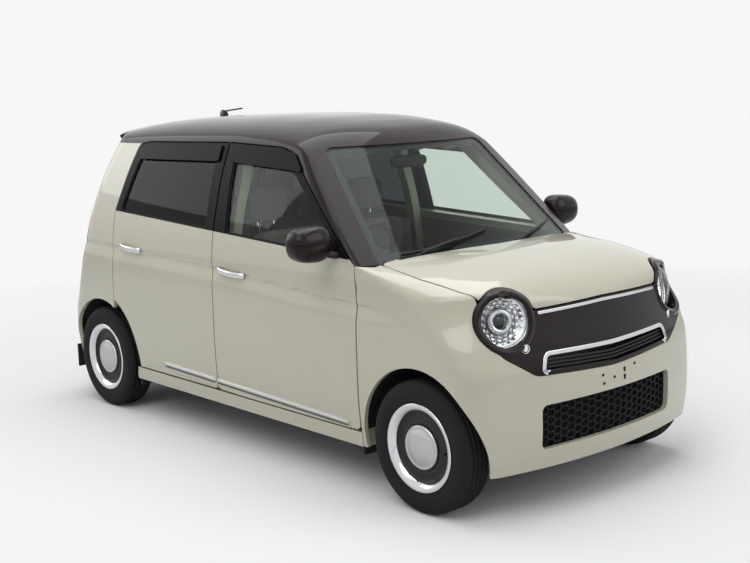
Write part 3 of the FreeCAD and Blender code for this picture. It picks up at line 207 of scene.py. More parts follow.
def rounded_end(p, tip, direction, crown, radius):
    """Signed distance from a bowed end whose corners are rounded in plan."""
    x, y, z = p.T
    r = radius(z)
    along = direction * (x - tip(z)) + crown * y * y + r
    across = np.abs(y) - (side_y(z) + 0.003 - r)
    return np.hypot(np.maximum(along, 0), np.maximum(across, 0)) + np.minimum(np.maximum(along, across),
                                                                              0) - r


def soft_max(a, b, k):
    return np.maximum(a, b) + np.maximum(k - np.abs(a - b), 0) ** 2 / (4 * k)


CREASE_DEPTH = 0.0085
CREASE_SPREAD = (0.042, 0.006)


def crease(p):
    """Depth of the long hollow under the door handles: soft below its line and sharp above it."""
    x, y, z = p.T
    line = 0.828 + (0.89 - x) / 2.0 * 0.083 + 0.014 * np.exp(-((x + 0.15) / 0.5) ** 2)
    drop = line - z
    shape = np.exp(-(drop / np.where(drop > 0, *CREASE_SPREAD)) ** 2)
    fade = np.clip((1.33 - x) / 0.35, 0, 1) * np.clip((x + 1.5) / 0.12, 0, 1)
    return CREASE_DEPTH * shape * fade * (np.abs(y) > 0.6)


def front_body(p):
    hood = tunnel(p, lambda x: hood_crown(x) - hood_shoulder(x), hood_shoulder, 3.5)
    nose = rounded_end(p, nose_x, 1, 0.20, nose_corner)
    return soft_max(hood, nose, 0.016) + crease(p)


def screen_gap(p):
    x, y, z = p.T
    return (x - SCREEN_X + (z - 1.0) * SCREEN_LEAN + SCREEN_BOW * y * y) / SCREEN_SLOPE


def roof_rise(x):
    return roof_crown(x) - roof_rail(x)


def roof_only(p):
    return tunnel(p, roof_rail, roof_rise, 3.0)


def cabin_body(p):
    tail = rounded_end(p, tail_x, -1, 0.10, lambda z: 0.150 + 0 * z)
    return soft_max(soft_max(roof_only(p), tail, 0.012), screen_gap(p), 0.030) + crease(p)


def shoot(shape, origin, direction, reach=1.6):
    """Where rays that start inside a shape leave it."""
    near = np.zeros(len(origin))
    far = np.full(len(origin), reach)
    low = shape(origin)
    high = shape(origin + direction * reach)
    last = None
    for turn in range(14):
        share = 0.5 if turn < 5 else np.clip(low / np.where(low == high, 1, low - high), 0.02, 0.98)
        middle = near + (far - near) * share
        value = shape(origin + direction * middle[:, None])
        inside = value < 0
        if last is not None:
            high = np.where(inside & last, high / 2, high)
            low = np.where(~inside & ~last, low / 2, low)
        near = np.where(inside, middle, near)
        low = np.where(inside, value, low)
        far = np.where(inside, far, middle)
        high = np.where(inside, high, value)
        last = inside
    return origin + direction * ((near + far) / 2)[:, None]


def rounded(corners, step=0.12):
    """Points along an outline with rounded corners."""
    points = []
    count = len(corners)
    for i in range(count):
        a, b, radius = corners[i]
        here = np.array((a, b), float)
        before = np.array(corners[i - 1][:2], float) - here
        after = np.array(corners[(i + 1) % count][:2], float) - here
        before /= np.linalg.norm(before)
        after /= np.linalg.norm(after)
        half = math.acos(max(-1, min(1, float(before @ after)))) / 2
        if radius <= 0 or half > 1.565:
            points.append(here)
            continue
        reach = radius / math.tan(half)
        middle = before + after
        middle /= np.linalg.norm(middle)
        centre = here + middle * radius / math.sin(half)
        start = here + before * reach - centre
        end = here + after * reach - centre
        turn = math.atan2(start[0] * end[1] - start[1] * end[0], start @ end)
        steps = max(2, int(abs(turn) / step))
        for k in range(steps + 1):
            angle = turn * k / steps
            c, s = math.cos(angle), math.sin(angle)
            points.append(centre + np.array((start[0] * c - start[1] * s, start[0] * s + start[1] * c)))
    return np.array(points) * MM


def outline_distance(corners, axes, grow=0.0):
    """A function that gives the signed distance from an outline seen along one axis; negative inside."""
    ring = rounded(corners)
    start = ring
    span = np.roll(ring, -1, axis=0) - ring
    square = np.maximum((span ** 2).sum(1), 1e-12)

    def distance(p):
        q = p[:, axes]
        to = q[:, None, :] - start[None]
        t = np.clip((to * span[None]).sum(2) / square, 0, 1)
        gap = np.linalg.norm(to - t[..., None] * span[None], axis=2).min(1)
        y0 = start[None, :, 1] > q[:, 1:2]
        y1 = (start + span)[None, :, 1] > q[:, 1:2]
        flat = np.where(np.abs(span[:, 1]) < 1e-12, 1e-12, span[:, 1])
        cross_x = start[None, :, 0] + (q[:, 1:2] - start[None, :, 1]) * (span[:, 0] / flat)[None]
        inside = ((y0 != y1) & (q[:, 0:1] < cross_x)).sum(1) % 2 == 1
        return np.where(inside, -gap, gap) - grow
    return distance


def within(corners, axes=SIDE_VIEW, grow=0.0):
    return outline_distance(corners, list(axes), grow)


def without(corners, axes=SIDE_VIEW, grow=0.0):
    inner = outline_distance(corners, list(axes), grow)
    return lambda p: -inner(p)


def off_arch(x, radius=ARCH_R):
    return lambda p: radius - np.hypot(p[:, 0] - x, p[:, 2] - AXLE_Z)


def flipped(sign):
    """What turns a point drawn for the left into one for the given side."""
    return np.array((1, sign, 1))


def lamp_radius(p, side=1):
    """Distance of points from the headlamp's axis."""
    flip = flipped(side)
    away = p - LAMP * flip
    axis = LAMP_AXIS * flip
    return np.linalg.norm(away - (away @ axis)[:, None] * axis, axis=1)


def above(z):
    return lambda p: z * MM - p[:, 2]


def below(z):
    return lambda p: p[:, 2] - z * MM


class Skin:
    """A patch of the body's surface: a grid of rays, cut by outlines and given turned-in edges."""

    def __init__(self, shape, rays, us, vs):
        self.shape = shape
        self.rays = rays
        grid = np.stack(np.meshgrid(us, vs, indexing="ij"), axis=-1)
        rows, columns = len(us), len(vs)
        self.uv = grid.reshape(-1, 2)
        corners = [i * columns + j for i in range(rows - 1) for j in range(columns - 1)]
        self.faces = [[k, k + columns, k + columns + 1, k + 1] for k in corners]

    def points(self, uv):
        origin, direction = self.rays(uv[:, 0], uv[:, 1])
        return shoot(self.shape, origin, direction)

    def cut(self, *fields):
        for field in fields:
            self.cut_once(field)
        return self

    def cut_once(self, field):
        values = field(self.points(self.uv))
        inside = values < 0
        if inside.all():
            return
        pairs = {}
        faces = []
        for face in self.faces:
            flags = [inside[i] for i in face]
            if all(flags):
                faces.append(face)
            elif any(flags):
                polygon = []
                for k, i in enumerate(face):
                    j = face[(k + 1) % len(face)]
                    if inside[i]:
                        polygon.append(i)
                    if inside[i] != inside[j]:
                        polygon.append(len(self.uv) + pairs.setdefault((min(i, j), max(i, j)), len(pairs)))
                faces.append(polygon)
        if pairs:
            ends = np.array(list(pairs))
            low, high = self.uv[ends[:, 0]], self.uv[ends[:, 1]]
            at_low, at_high = values[ends[:, 0]], values[ends[:, 1]]
            t0 = np.zeros(len(ends))
            t1 = np.ones(len(ends))
            for _ in range(4):
                t = t0 + (t1 - t0) * np.clip(at_low / (at_low - at_high), 0.03, 0.97)
                value = field(self.points(low + (high - low) * t[:, None]))
                same = (value < 0) == (at_low < 0)
                t0 = np.where(same, t, t0)
                t1 = np.where(same, t1, t)
                at_low = np.where(same, value, at_low)
                at_high = np.where(same, at_high, value)
            t = t0 + (t1 - t0) * at_low / (at_low - at_high)
            self.uv = np.vstack([self.uv, low + (high - low) * t[:, None]])
        used = sorted({i for face in faces for i in face})
        place = {old: new for new, old in enumerate(used)}
        self.uv = self.uv[used]
        self.faces = [[place[i] for i in face] for face in faces]

    def surface(self, lift=0.0, relief=None):
        """Welded points, outward normals and faces that face outwards."""
        p = self.points(self.uv)
        n = slopes(self.shape, p)
        n /= np.linalg.norm(n, axis=1)[:, None]
        if relief:
            p = p + n * relief(p)[:, None]
            shape = self.shape
            lifted = slopes(lambda q: shape(q) - relief(q), p)
            n = lifted / np.linalg.norm(lifted, axis=1)[:, None]
        p = p + n * lift
        keys = {}
        place = []
        for i, q in enumerate(np.round(p / 0.0003).astype(int)):
            place.append(keys.setdefault(tuple(q), i))
        faces = []
        for face in self.faces:
            clean = list(dict.fromkeys(place[i] for i in face))
            if len(clean) > 2:
                faces.append(clean)
        if faces:
            a, b, c = (p[faces[0][k]] for k in range(3))
            if np.cross(b - a, c - a) @ n[faces[0][0]] < 0:
                faces = [list(reversed(face)) for face in faces]
        return p, n, faces


def outward_rims(p, n, faces):
    """Directed boundary edges and, for each boundary point, the direction out of the patch."""
    edges = {}
    for face in faces:
        for k, i in enumerate(face):
            edges[(i, face[(k + 1) % len(face)])] = True
    rim = [(i, j) for i, j in edges if (j, i) not in edges]
    out = {}
    for i, j in rim:
        run = p[j] - p[i]
        size = np.linalg.norm(run)
        if size < 1e-9:
            continue
        side = np.cross(run / size, n[i])
        for k in (i, j):
            out[k] = out.get(k, 0) + side
    for k in out:
        out[k] = out[k] - n[k] * (out[k] @ n[k])
        size = np.linalg.norm(out[k])
        out[k] = out[k] / size if size > 1e-6 else n[k] * 0
    return rim, out


EDGE_ANGLES = (0.6, 1.1, math.pi / 2)


def build_panel(name, skin, body, finish, depth, radius=0.002, lift=0.0, relief=None, inner_finish=None,
                nodes=()):
    """Turn a cut skin into a closed sheet with rounded edges and smooth normals."""
    p, n, faces = skin.surface(lift, relief)
    rim, out = outward_rims(p, n, faces)
    points = [tuple(q) for q in p]
    normals = [tuple(q) for q in n]
    all_faces = list(faces)
    rings = [{k: k for k in out}]
    for angle, sink in [(a, radius * (1 - math.cos(a))) for a in EDGE_ANGLES] + [(EDGE_ANGLES[-1], depth)]:
        ring = {}
        for k in out:
            q = p[k] + out[k] * radius * math.sin(angle) - n[k] * sink
            ring[k] = len(points)
            points.append(tuple(q))
            normals.append(tuple(n[k] * math.cos(angle) + out[k] * math.sin(angle)))
        rings.append(ring)
    for first, second in zip(rings, rings[1:]):
        for i, j in rim:
            if i in second and j in second:
                all_faces.append([first[j], first[i], second[i], second[j]])
    inner_start = len(all_faces)
    back = {}
    for k in {i for face in faces for i in face}:
        back[k] = len(points)
        q = p[k] - n[k] * depth
        if k in out:
            q = q + out[k] * radius
        points.append(tuple(q))
        normals.append(tuple(-n[k]))
    for face in faces:
        all_faces.append([back[i] for i in reversed(face)])
    last = rings[-1]
    for i, j in rim:
        if i in last and j in last:
            all_faces.append([last[j], last[i], back[i], back[j]])
    obj = make_object(name, points, all_faces, body, finish, inner_finish)
    if inner_finish:
        for index in range(inner_start, len(obj.data.polygons)):
            obj.data.polygons[index].material_index = 1
    obj.data.normals_split_custom_set_from_vertices(normals)
    if nodes:
        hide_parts(*nodes)
    return obj


def make_object(name, points, faces, body, finish, second=None):
    """A smooth mesh object that rides on a body."""
    mesh = bpy.data.meshes.new(name)
    mesh.from_pydata([tuple(map(float, q)) for q in points], [], [list(map(int, face)) for face in faces])
    for polygon in mesh.polygons:
        polygon.use_smooth = True
    obj = bpy.data.objects.new(name, mesh)
    bpy.context.scene.collection.objects.link(obj)
    finish_with(obj, finish, *([second] if second else []))
    if body:
        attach(obj, body)
    return obj


def finish_with(obj, *finishes):
    """Give an object its materials."""
    obj.data.materials.clear()
    for item in finishes:
        obj.data.materials.append(material(item))


def stack(*columns):
    size = max(np.size(c) for c in columns)
    return np.stack([np.broadcast_to(np.asarray(c, float), (size,)) for c in columns], axis=1)


def side_rays(sign):
    """Level rays outwards: u is x, v is z."""
    def rays(u, v):
        return stack(u, 0.30 * sign, v), stack(0 * u, sign, 0)
    return rays


def wing_rays(sign):
    """Rays from a line in the engine bay: u runs along the wing and round the corner, v is the slope."""
    corner = 1.30

    def rays(u, v):
        turn = np.maximum(u - corner, 0) / 0.38
        origin = stack(np.minimum(u, corner), 0.30 * sign, 0.60)
        return origin, stack(np.sin(turn) * np.cos(v), np.cos(turn) * np.cos(v) * sign, np.sin(v))
    return rays


def nose_rays(u, v):
    """u is the bearing from straight ahead, v is the height."""
    return stack(1.10, np.sin(u) * 0.12, v), stack(np.cos(u), np.sin(u), 0)


def tail_rays(u, v):
    return stack(-1.15, np.sin(u) * 0.12, v), stack(-np.cos(u), np.sin(u), 0)


def quarter_rays(sign):
    """u is x down to the corner and then a bearing round it, v is the height."""
    corner = -1.15

    def rays(u, v):
        turn = np.maximum(corner - u, 0) / 0.42
        return stack(np.maximum(u, corner), 0.25 * sign, v), stack(-np.sin(turn), np.cos(turn) * sign, 0)
    return rays


def back_rays(u, v):
    """u is y, v is z."""
    return stack(-0.85, u, v), stack(-1, 0 * u, 0)


def bonnet_rays(u, v):
    lean = 1.0 * np.clip(u, 0, 1) ** 2
    return stack(0.93 + 0.42 * u, v, 0.60), stack(np.sin(lean), 0 * v, np.cos(lean))


def roof_rays(u, v):
    """u is x, v is the bearing from straight up."""
    return stack(u, np.sin(v) * 0.15, 1.10), stack(0 * u, np.sin(v), np.cos(v))


def steps(low, high, size):
    return np.linspace(low, high, max(2, int(round(abs(high - low) / size)) + 1))


def for_side(sign, field):
    """A field drawn for the left, read on either side."""
    return lambda p: field(p * flipped(sign))


def bonnet_edge(grow):
    """The bonnet's outline in plan, grown outwards by millimetres."""
    half = [(x - grow * (i < 4), y + grow * (y > 0), 0) for i, (x, y) in enumerate(BONNET_HALF)]
    ring = [(x, -y, 0) for x, y, _ in reversed(half[1:])] + half
    ring[-1] = BONNET_TIP
    ring[0] = (BONNET_TIP[0], -BONNET_TIP[1], 0)
    return ring


def goggle_keep(grow, inside=True):
    """The dark nose panel with its two round bosses; inside keeps it, otherwise it is cut away."""
    band = outline_distance(GOGGLE, [1, 2], grow)

    def field(p):
        ring = np.minimum(lamp_radius(p, 1), lamp_radius(p, -1)) - RING_R - grow
        joined = np.where(p[:, 0] > 1.3, np.minimum(band(p), ring), 1.0)
        return joined if inside else -joined
    return field


class Wire:
    """A node's socket that takes arithmetic."""

    def __init__(self, owner, socket):
        self.owner = owner
        self.socket = socket

    def _math(self, operation, *values):
        return self.owner.node("ShaderNodeMath", {"operation": operation}, dict(enumerate(values)))

    def __add__(self, other):
        return self._math("ADD", self, other)

    __radd__ = __add__

    def __sub__(self, other):
        return self._math("SUBTRACT", self, other)

    def __rsub__(self, other):
        return self._math("SUBTRACT", other, self)

    def __mul__(self, other):
        return self._math("MULTIPLY", self, other)

    __rmul__ = __mul__

    def __pow__(self, other):
        return self._math("POWER", self, other)

    def wave(self):
        return self._math("SINE", self)

    def larger(self, other):
        return self._math("MAXIMUM", self, other)

    def clamp(self, low, high):
        return self.owner.node("ShaderNodeMapRange", {"clamp": True},
                               {0: self, 1: low, 2: high, 3: 0.0, 4: 1.0})

    def beside(self, name):
        """Another output of the same node."""
        return Wire(self.owner, self.socket.node.outputs[name])


class Tree:
    """A node tree whose nodes all come from one method."""

    def __init__(self, tree):
        self.tree = tree
        self.tree.nodes.clear()

    def node(self, kind, settings=None, inputs=None, output=0):
        """Make a node, with its settings first and then its values or links, and give one of its outputs."""
        made = self.tree.nodes.new(kind)
        for key, value in (settings or {}).items():
            setattr(made, key, value)
        for key, value in (inputs or {}).items():
            if isinstance(value, Wire):
                self.tree.links.new(value.socket, made.inputs[key])
            else:
                made.inputs[key].default_value = value
        return Wire(self, made.outputs[output]) if len(made.outputs) else None


class Finish(Tree):
    """One material: a shader and the nodes that feed it."""

    def __init__(self, name, fixed=None):
        self.material = bpy.data.materials.new(name)
        self.material.use_nodes = True
        super().__init__(self.material.node_tree)
        self.coordinates = None
        if fixed:
            self.shader = self.node("ShaderNodeBsdfPrincipled", None, fixed)
            self.show(self.shader)

    def show(self, shader):
        self.node("ShaderNodeOutputMaterial", None, {"Surface": shader})

    def feed(self, key, wire):
        self.tree.links.new(wire.socket, self.shader.socket.node.inputs[key])

    def place(self):
        if self.coordinates is None:
            self.coordinates = self.node("ShaderNodeTexCoord", output="Object")
        return self.coordinates

    def axis(self, name):
        return self.node("ShaderNodeSeparateXYZ", None, {0: self.place()}, "XYZ".index(name))

    def noise(self, scale, detail=3.0, rough=0.5):
        inputs = {"Vector": self.place(), "Scale": scale, "Detail": detail, "Roughness": rough}
        return self.node("ShaderNodeTexNoise", {"noise_dimensions": "3D"}, inputs, "Fac")

    def cells(self, scale):
        inputs = {"Vector": self.place(), "Scale": scale}
        return self.node("ShaderNodeTexVoronoi", {"feature": "F1"}, inputs, "Distance")

    def weave(self, pitch):
        turn = 2 * math.pi / pitch
        lines = [(self.axis(a) * turn).wave() for a in "XYZ"]
        return lines[0] * lines[1] + lines[1] * lines[2] + lines[2] * lines[0]

    def shade(self, color, wire, amount):
        """The base colour, made darker and lighter by a pattern from 0 to 1."""
        dark = [c * (1 - amount) for c in color[:3]] + [1]
        light = [min(1, c * (1 + amount)) for c in color[:3]] + [1]
        self.feed("Base Color",
                  self.node("ShaderNodeMix", {"data_type": "RGBA"}, {0: wire, 6: dark, 7: light}, 2))

    def bump(self, height, distance, strength=1.0):
        inputs = {"Strength": strength, "Distance": distance, "Height": height}
        self.feed("Normal", self.node("ShaderNodeBump", None, inputs))


def paint(name, color, flake=0.02, roughness=0.36, coat_ior=1.42, specular=0.35):
    look = Finish(name,
                  {"Coat Weight": 1.0, "Coat Roughness": 0.03, "Coat IOR": coat_ior, "Roughness": roughness,
                         "Specular IOR Level": specular})
    look.shade(color, look.noise(2.2, 2), flake)
    look.feed("Roughness", look.noise(35, 2) * 0.06 + (roughness - 0.03))
    look.bump(look.noise(260, 2), 0.00012, 0.25)
    return look.material


def moulded(name, color, roughness=0.55, grain=900, depth=0.00025, coat=0.0, specular=0.5):
    look = Finish(name, {"Roughness": roughness, "Coat Weight": coat, "Specular IOR Level": specular})
    look.shade(color, look.noise(14, 4), 0.12)
    look.feed("Roughness", look.noise(60, 3) * 0.12 + (roughness - 0.06))
    look.bump(look.cells(grain), depth, 0.5)
    return look.material


def metal(name, color, roughness=0.12, grain=400, depth=0.00003):
    look = Finish(name, {"Metallic": 1.0, "Roughness": roughness})
    look.shade(color, look.noise(9, 3), 0.05)
    look.feed("Roughness", look.noise(50, 4) * 0.08 + max(roughness - 0.04, 0))
    look.bump(look.noise(grain, 3), depth, 0.4)
    return look.material


def rubber(name, color, roughness=0.75):
    look = Finish(name, {"Roughness": roughness, "Specular IOR Level": 0.15})
    dust = look.noise(7, 5, 0.65)
    look.shade(color, dust, 0.35)
    look.feed("Roughness", dust * 0.16 + (roughness - 0.08))
    look.bump(look.noise(500, 3), 0.0003, 0.4)
    return look.material


def cloth(name, color, pitch=0.0034, depth=0.0006, sheen=0.35):
    look = Finish(name, {"Roughness": 0.95, "Sheen Weight": sheen, "Specular IOR Level": 0.2})
    threads = look.weave(pitch)
    look.shade(color, (threads * 0.25 + look.noise(60, 4) * 0.7 + 0.1).clamp(0.0, 1.0), 0.4)
    look.bump(threads + look.noise(400, 2) * 1.5, depth, 0.7)
    return look.material


def carpet(name, color):
    look = Finish(name, {"Roughness": 1.0, "Sheen Weight": 0.2, "Specular IOR Level": 0.1})
    tufts = look.noise(320, 5, 0.7)
    look.shade(color, tufts, 0.55)
    look.bump(tufts, 0.004, 0.8)
    return look.material


def window(name, tint, mirrored=0.02):
    """See-through tinted glass that mirrors more at a grazing look."""
    look = Finish(name)
    clear = look.node("ShaderNodeBsdfTransparent", None, {"Color": (*tint, 1)})
    mirror = {"Base Color": (0.95, 0.97, 0.97, 1), "Metallic": 1.0, "Roughness": 0.01}
    gloss = look.node("ShaderNodeBsdfPrincipled", None, mirror)
    slant = look.node("ShaderNodeLayerWeight", None, {"Blend": 0.5}, "Facing")
    share = slant ** 5 * 0.6 * (look.noise(3.0, 3) * 0.12 + 0.94) + mirrored
    look.show(look.node("ShaderNodeMixShader", None, {0: share, 1: clear, 2: gloss}))
    return look.material


def lens(name, color):
    """A coloured lamp lens with a fine pattern of prisms."""
    look = Finish(name,
                  {"Roughness": 0.12, "Coat Weight": 1.0, "Coat Roughness": 0.02, "Specular IOR Level": 0.6})
    turn = 2 * math.pi / 0.006
    prisms = (look.axis("Z") * turn).wave() * (look.axis("Y") * turn).wave()
    look.shade(color, (prisms * 0.5 + 0.5).clamp(0, 1), 0.45)
    look.bump(prisms, 0.0008, 0.5)
    return look.material


BACKDROP = (0.93, 0.93, 0.93)
SHADOW_REACH = 2.6
SHADOW_FADE = 0.30


def lit(name, color):
    """The pale floor: it takes the shadow near the car and fades to the backdrop's own colour farther out."""
    look = Finish(name)
    ground = look.node("ShaderNodeBsdfDiffuse", None, {"Color": (*color, 1), "Roughness": 0.5})
    glow = look.node("ShaderNodeEmission", None, {"Color": (*BACKDROP, 1), "Strength": 1.0})
    seen = look.node("ShaderNodeLightPath", output="Is Camera Ray")
    away = (look.axis("X") ** 2 + look.axis("Y") ** 2) ** 0.5
    share = ((away - SHADOW_REACH) * SHADOW_FADE).clamp(0, 1) * seen
    look.show(look.node("ShaderNodeMixShader", None, {0: share, 1: ground, 2: glow}))
    return look.material


def chosen(group):
    """One of the user's groups of choices, kept on the scene."""
    return getattr(bpy.context.scene, group)


# For each finish: its slot name, its shader, its colour or the user's choice that holds it, and what differs
# from the shader's defaults.
FINISHES = {
    "cream paint": ("body", paint, "body", {}),
    "brown paint": ("roof", paint, "roof",
                    {"flake": 0.08, "roughness": 0.45, "coat_ior": 1.22, "specular": 0.08}),
    "panel gloss": ("dark_panel", paint, (0.011, 0.007, 0.0065),
                    {"flake": 0.06, "roughness": 0.30, "coat_ior": 1.22, "specular": 0.08}),
    "sash black": ("dark_panel", moulded, (0.006, 0.006, 0.007),
                   {"roughness": 0.34, "grain": 700, "depth": 0.00004, "specular": 0.06}),
    "inner paint": ("frame", moulded, (0.30, 0.295, 0.235),
                    {"roughness": 0.5, "grain": 300, "depth": 0.0001, "coat": 0.2}),
    "clear glass": ("glass", window, (0.87, 0.905, 0.88), {"mirrored": 0.012}),
    "privacy glass": ("dark_glass", window, "dark_glass", {"mirrored": 0.012}),
    "lamp glass": ("lamp_clear", window, (0.98, 0.985, 0.985), {}),
    "smoked visor": ("dark_glass", window, (0.05, 0.045, 0.043), {"mirrored": 0.006}),
    "glass border": ("plastic", moulded, (0.006, 0.006, 0.007),
                     {"roughness": 0.35, "grain": 500, "depth": 0.00002, "specular": 0.2}),
    "red lens": ("lamp_red", lens, (0.30, 0.006, 0.008), {}),
    "amber lens": ("lamp_red", lens, (0.75, 0.22, 0.02), {}),
    "chrome": ("bright", metal, (0.66, 0.66, 0.68), {"roughness": 0.10}),
    "silver cap": ("rim", metal, (0.50, 0.50, 0.51), {"roughness": 0.34, "grain": 900, "depth": 0.0001}),
    "dark wheel": ("rim", moulded, (0.020, 0.019, 0.020),
                   {"roughness": 0.45, "grain": 600, "depth": 0.00005, "specular": 0.25}),
    "reflector": ("bright", metal, (0.80, 0.81, 0.82), {"roughness": 0.10}),
    "black plastic": ("plastic", moulded, (0.014, 0.014, 0.015),
                      {"roughness": 0.62, "grain": 800, "depth": 0.0003, "specular": 0.3}),
    "dash grain": ("plastic", moulded, (0.034, 0.032, 0.031),
                   {"roughness": 0.68, "grain": 420, "depth": 0.0005}),
    "dash gloss": ("dark_panel", moulded, (0.05, 0.035, 0.03),
                   {"roughness": 0.18, "grain": 600, "depth": 0.00002, "coat": 0.8}),
    "blank plate": ("plastic", moulded, (0.60, 0.60, 0.59),
                    {"roughness": 0.5, "grain": 300, "depth": 0.00003}),
    "grey trim": ("plastic", moulded, (0.10, 0.10, 0.098), {"roughness": 0.7, "grain": 420, "depth": 0.0004}),
    "headliner": ("seat", cloth, (0.42, 0.41, 0.38), {"pitch": 0.002, "depth": 0.0003, "sheen": 0.1}),
    "seat cloth": ("seat", cloth, "seat", {}),
    "seat insert": ("seat", cloth, (0.17, 0.155, 0.14), {"pitch": 0.005, "depth": 0.0009}),
    "carpet": ("seat", carpet, (0.022, 0.021, 0.021), {}),
    "tyre rubber": ("tyre", rubber, (0.014, 0.0135, 0.0135), {}),
    "seal rubber": ("plastic", rubber, (0.007, 0.007, 0.007), {"roughness": 0.6}),
    "under steel": ("iron", metal, (0.10, 0.10, 0.10), {"roughness": 0.55, "grain": 80, "depth": 0.0006}),
    "brake iron": ("iron", metal, (0.32, 0.30, 0.28), {"roughness": 0.35, "grain": 300, "depth": 0.0002}),
    "cast block": ("engine", metal, (0.36, 0.36, 0.36), {"roughness": 0.5, "grain": 160, "depth": 0.0008}),
    "under coat": ("frame", moulded, (0.030, 0.030, 0.031),
                   {"roughness": 0.85, "grain": 260, "depth": 0.0012}),
    "exhaust steel": ("iron", metal, (0.38, 0.36, 0.33), {"roughness": 0.42, "grain": 120, "depth": 0.0004}),
    "mirror glass": ("bright", metal, (0.9, 0.91, 0.92), {"roughness": 0.01, "grain": 5, "depth": 0.0}),
    "floor": (None, lit, (0.80, 0.80, 0.80), {}),
}
made_finishes = {}


def material(name):
    if name not in made_finishes:
        _, shader, tint, settings = FINISHES[name]
        if isinstance(tint, str):
            tint = tuple(getattr(chosen("car_colors"), tint))
        made_finishes[name] = shader(name, tint, **settings)
    return made_finishes[name]


def patch(name, body, finish, grid, cuts, depth, radius=0.002, lift=0.0, **rest):
    """Cut a grid of rays on a shape to its outlines and close it into a sheet."""
    return build_panel(name, Skin(*grid).cut(*cuts), body, finish, depth, radius, lift, **rest)


def side_grid(sign, xs, zs, size, rise=None):
    return cabin_body, side_rays(sign), steps(*xs, size), steps(*zs, rise or size)


def quarter_grid(sign, xs, zs, size, rise=None):
    return cabin_body, quarter_rays(sign), steps(*xs, size), steps(*zs, rise or size)


def nose_grid(bearing, zs, size, rise):
    return front_body, nose_rays, steps(-bearing, bearing, size), steps(*zs, rise)


def tail_grid(bearing, zs, size, rise):
    return cabin_body, tail_rays, steps(-bearing, bearing, size), steps(*zs, rise)


def back_grid(half, zs, size, rise=None):
    return cabin_body, back_rays, steps(-half, half, size), steps(*zs, rise or size)


def side_span(sign, near, far):
    """Both ends of a span across the car on one side, the lower first."""
    return sorted((sign * near, sign * far))


def on_side(xs, zs):
    """Points of the left flank at x and z."""
    xs, zs = np.broadcast_arrays(np.atleast_1d(xs).astype(float), zs)
    return shoot(cabin_body, stack(xs, 0.3, zs), stack(0 * xs, 1, 0))


def on_nose(y, z, start=1.10):
    return shoot(front_body, stack(start, y, z), stack(1, 0, 0))[0]


def on_tail(ys, zs, out):
    """Points behind the car's back at y and z, stood off by out."""
    ys, zs = np.broadcast_arrays(np.atleast_1d(ys).astype(float), zs)
    found = shoot(cabin_body, stack(-0.9 + 0 * ys, ys, zs), stack(-1 + 0 * ys, 0, 0))
    return [Vector((p[0] - out, p[1], p[2])) for p in found]


def paint_bonnet():
    grid = (front_body, bonnet_rays, steps(0.02, 1.12, 0.03), steps(-0.665, 0.665, 0.0133))
    patch("bonnet_skin", "bonnet", "cream paint", grid,
          [within(bonnet_edge(-BONNET_GAP), PLAN), goggle_keep(0.008, False), above(785)],
          0.022, 0.0025, inner_finish="inner paint", nodes=["bonnet"])


def paint_wing(name, sign):
    lid = outline_distance(bonnet_edge(BONNET_FLANGE - BONNET_GAP), list(PLAN))

    def bonnet_room(p):
        return -np.maximum(lid(p), 0.772 - p[:, 2])

    def pillar_room(p):
        return -np.maximum(p[:, 0] - 0.975, 0.986 - p[:, 2])
    region = [(916, 213, 0), (1262, 213, 0), (1491, 500, 0), (1529, 740, 0), (1640, 1000, 0), (1640, 1100, 0),
              (880, 1100, 0), (880, 985, 0), (913, 900, 0)]
    grid = (front_body, wing_rays(sign), steps(0.87, 1.75, 0.012), steps(-0.82, 1.02, 0.018))
    patch("wing_" + name, "body", "cream paint", grid,
          [within(region), without(FRONT_DOOR, grow=DOOR_ROOM), for_side(sign, bonnet_room),
           for_side(sign, pillar_room), goggle_keep(0.004, False), off_arch(FRONT_AXLE, WING_ARCH)],
          0.020, inner_finish="inner paint", nodes=["fender_" + name])


# For each side door: its outline, its window and the reach of its grid along the car.
DOORS = {"front": (FRONT_DOOR, FRONT_WINDOW, (-0.17, 0.91)), "rear": (REAR_DOOR, REAR_WINDOW, (-1.11, -0.14))}


def paint_doors(name, sign):
    """The painted lower half of each door, and the dark sash round its window."""
    gap = chosen("car_sizes").door_gap
    for place, (outline, opening, reach) in DOORS.items():
        body = f"door_{place}_{name}"
        grid = side_grid(sign, reach, (0.28, 1.485), 0.013)
        patch(f"door_skin_{place}_{name}", body, "cream paint", grid,
              [within(outline, grow=-gap), lambda p: over_belt(p) - 0.004, without(opening),
               off_arch(REAR_AXLE, DOOR_ARCH)], 0.064, inner_finish="inner paint", nodes=[body])
        patch(f"door_sash_{place}_{name}", body, "sash black", grid,
              [within(outline, grow=-gap), lambda p: 0.0045 - over_belt(p), without(opening)], 0.030, 0.001)


def paint_quarter(name, sign):
    lid = outline_distance(TAILGATE, list(END_VIEW), ROOF_ROOM)

    def tailgate_room(p):
        return -np.maximum(lid(p), p[:, 0] + 1.268)

    def bumper_room(p):
        return -np.maximum(p[:, 0] + 1.3175, p[:, 2] - 0.5535)
    patch("quarter_skin_" + name, "body", "cream paint",
          quarter_grid(sign, (-0.90, -1.82), (0.21, 1.47), 0.013),
          [without(REAR_DOOR, grow=DOOR_ROOM), below(1462), above(213), off_arch(REAR_AXLE, WING_ARCH),
           tailgate_room, bumper_room, without(TAIL_LAMP, grow=0.0015), lambda p: p[:, 0] + 0.927],
          0.020, inner_finish="inner paint", nodes=["quarter_" + name])


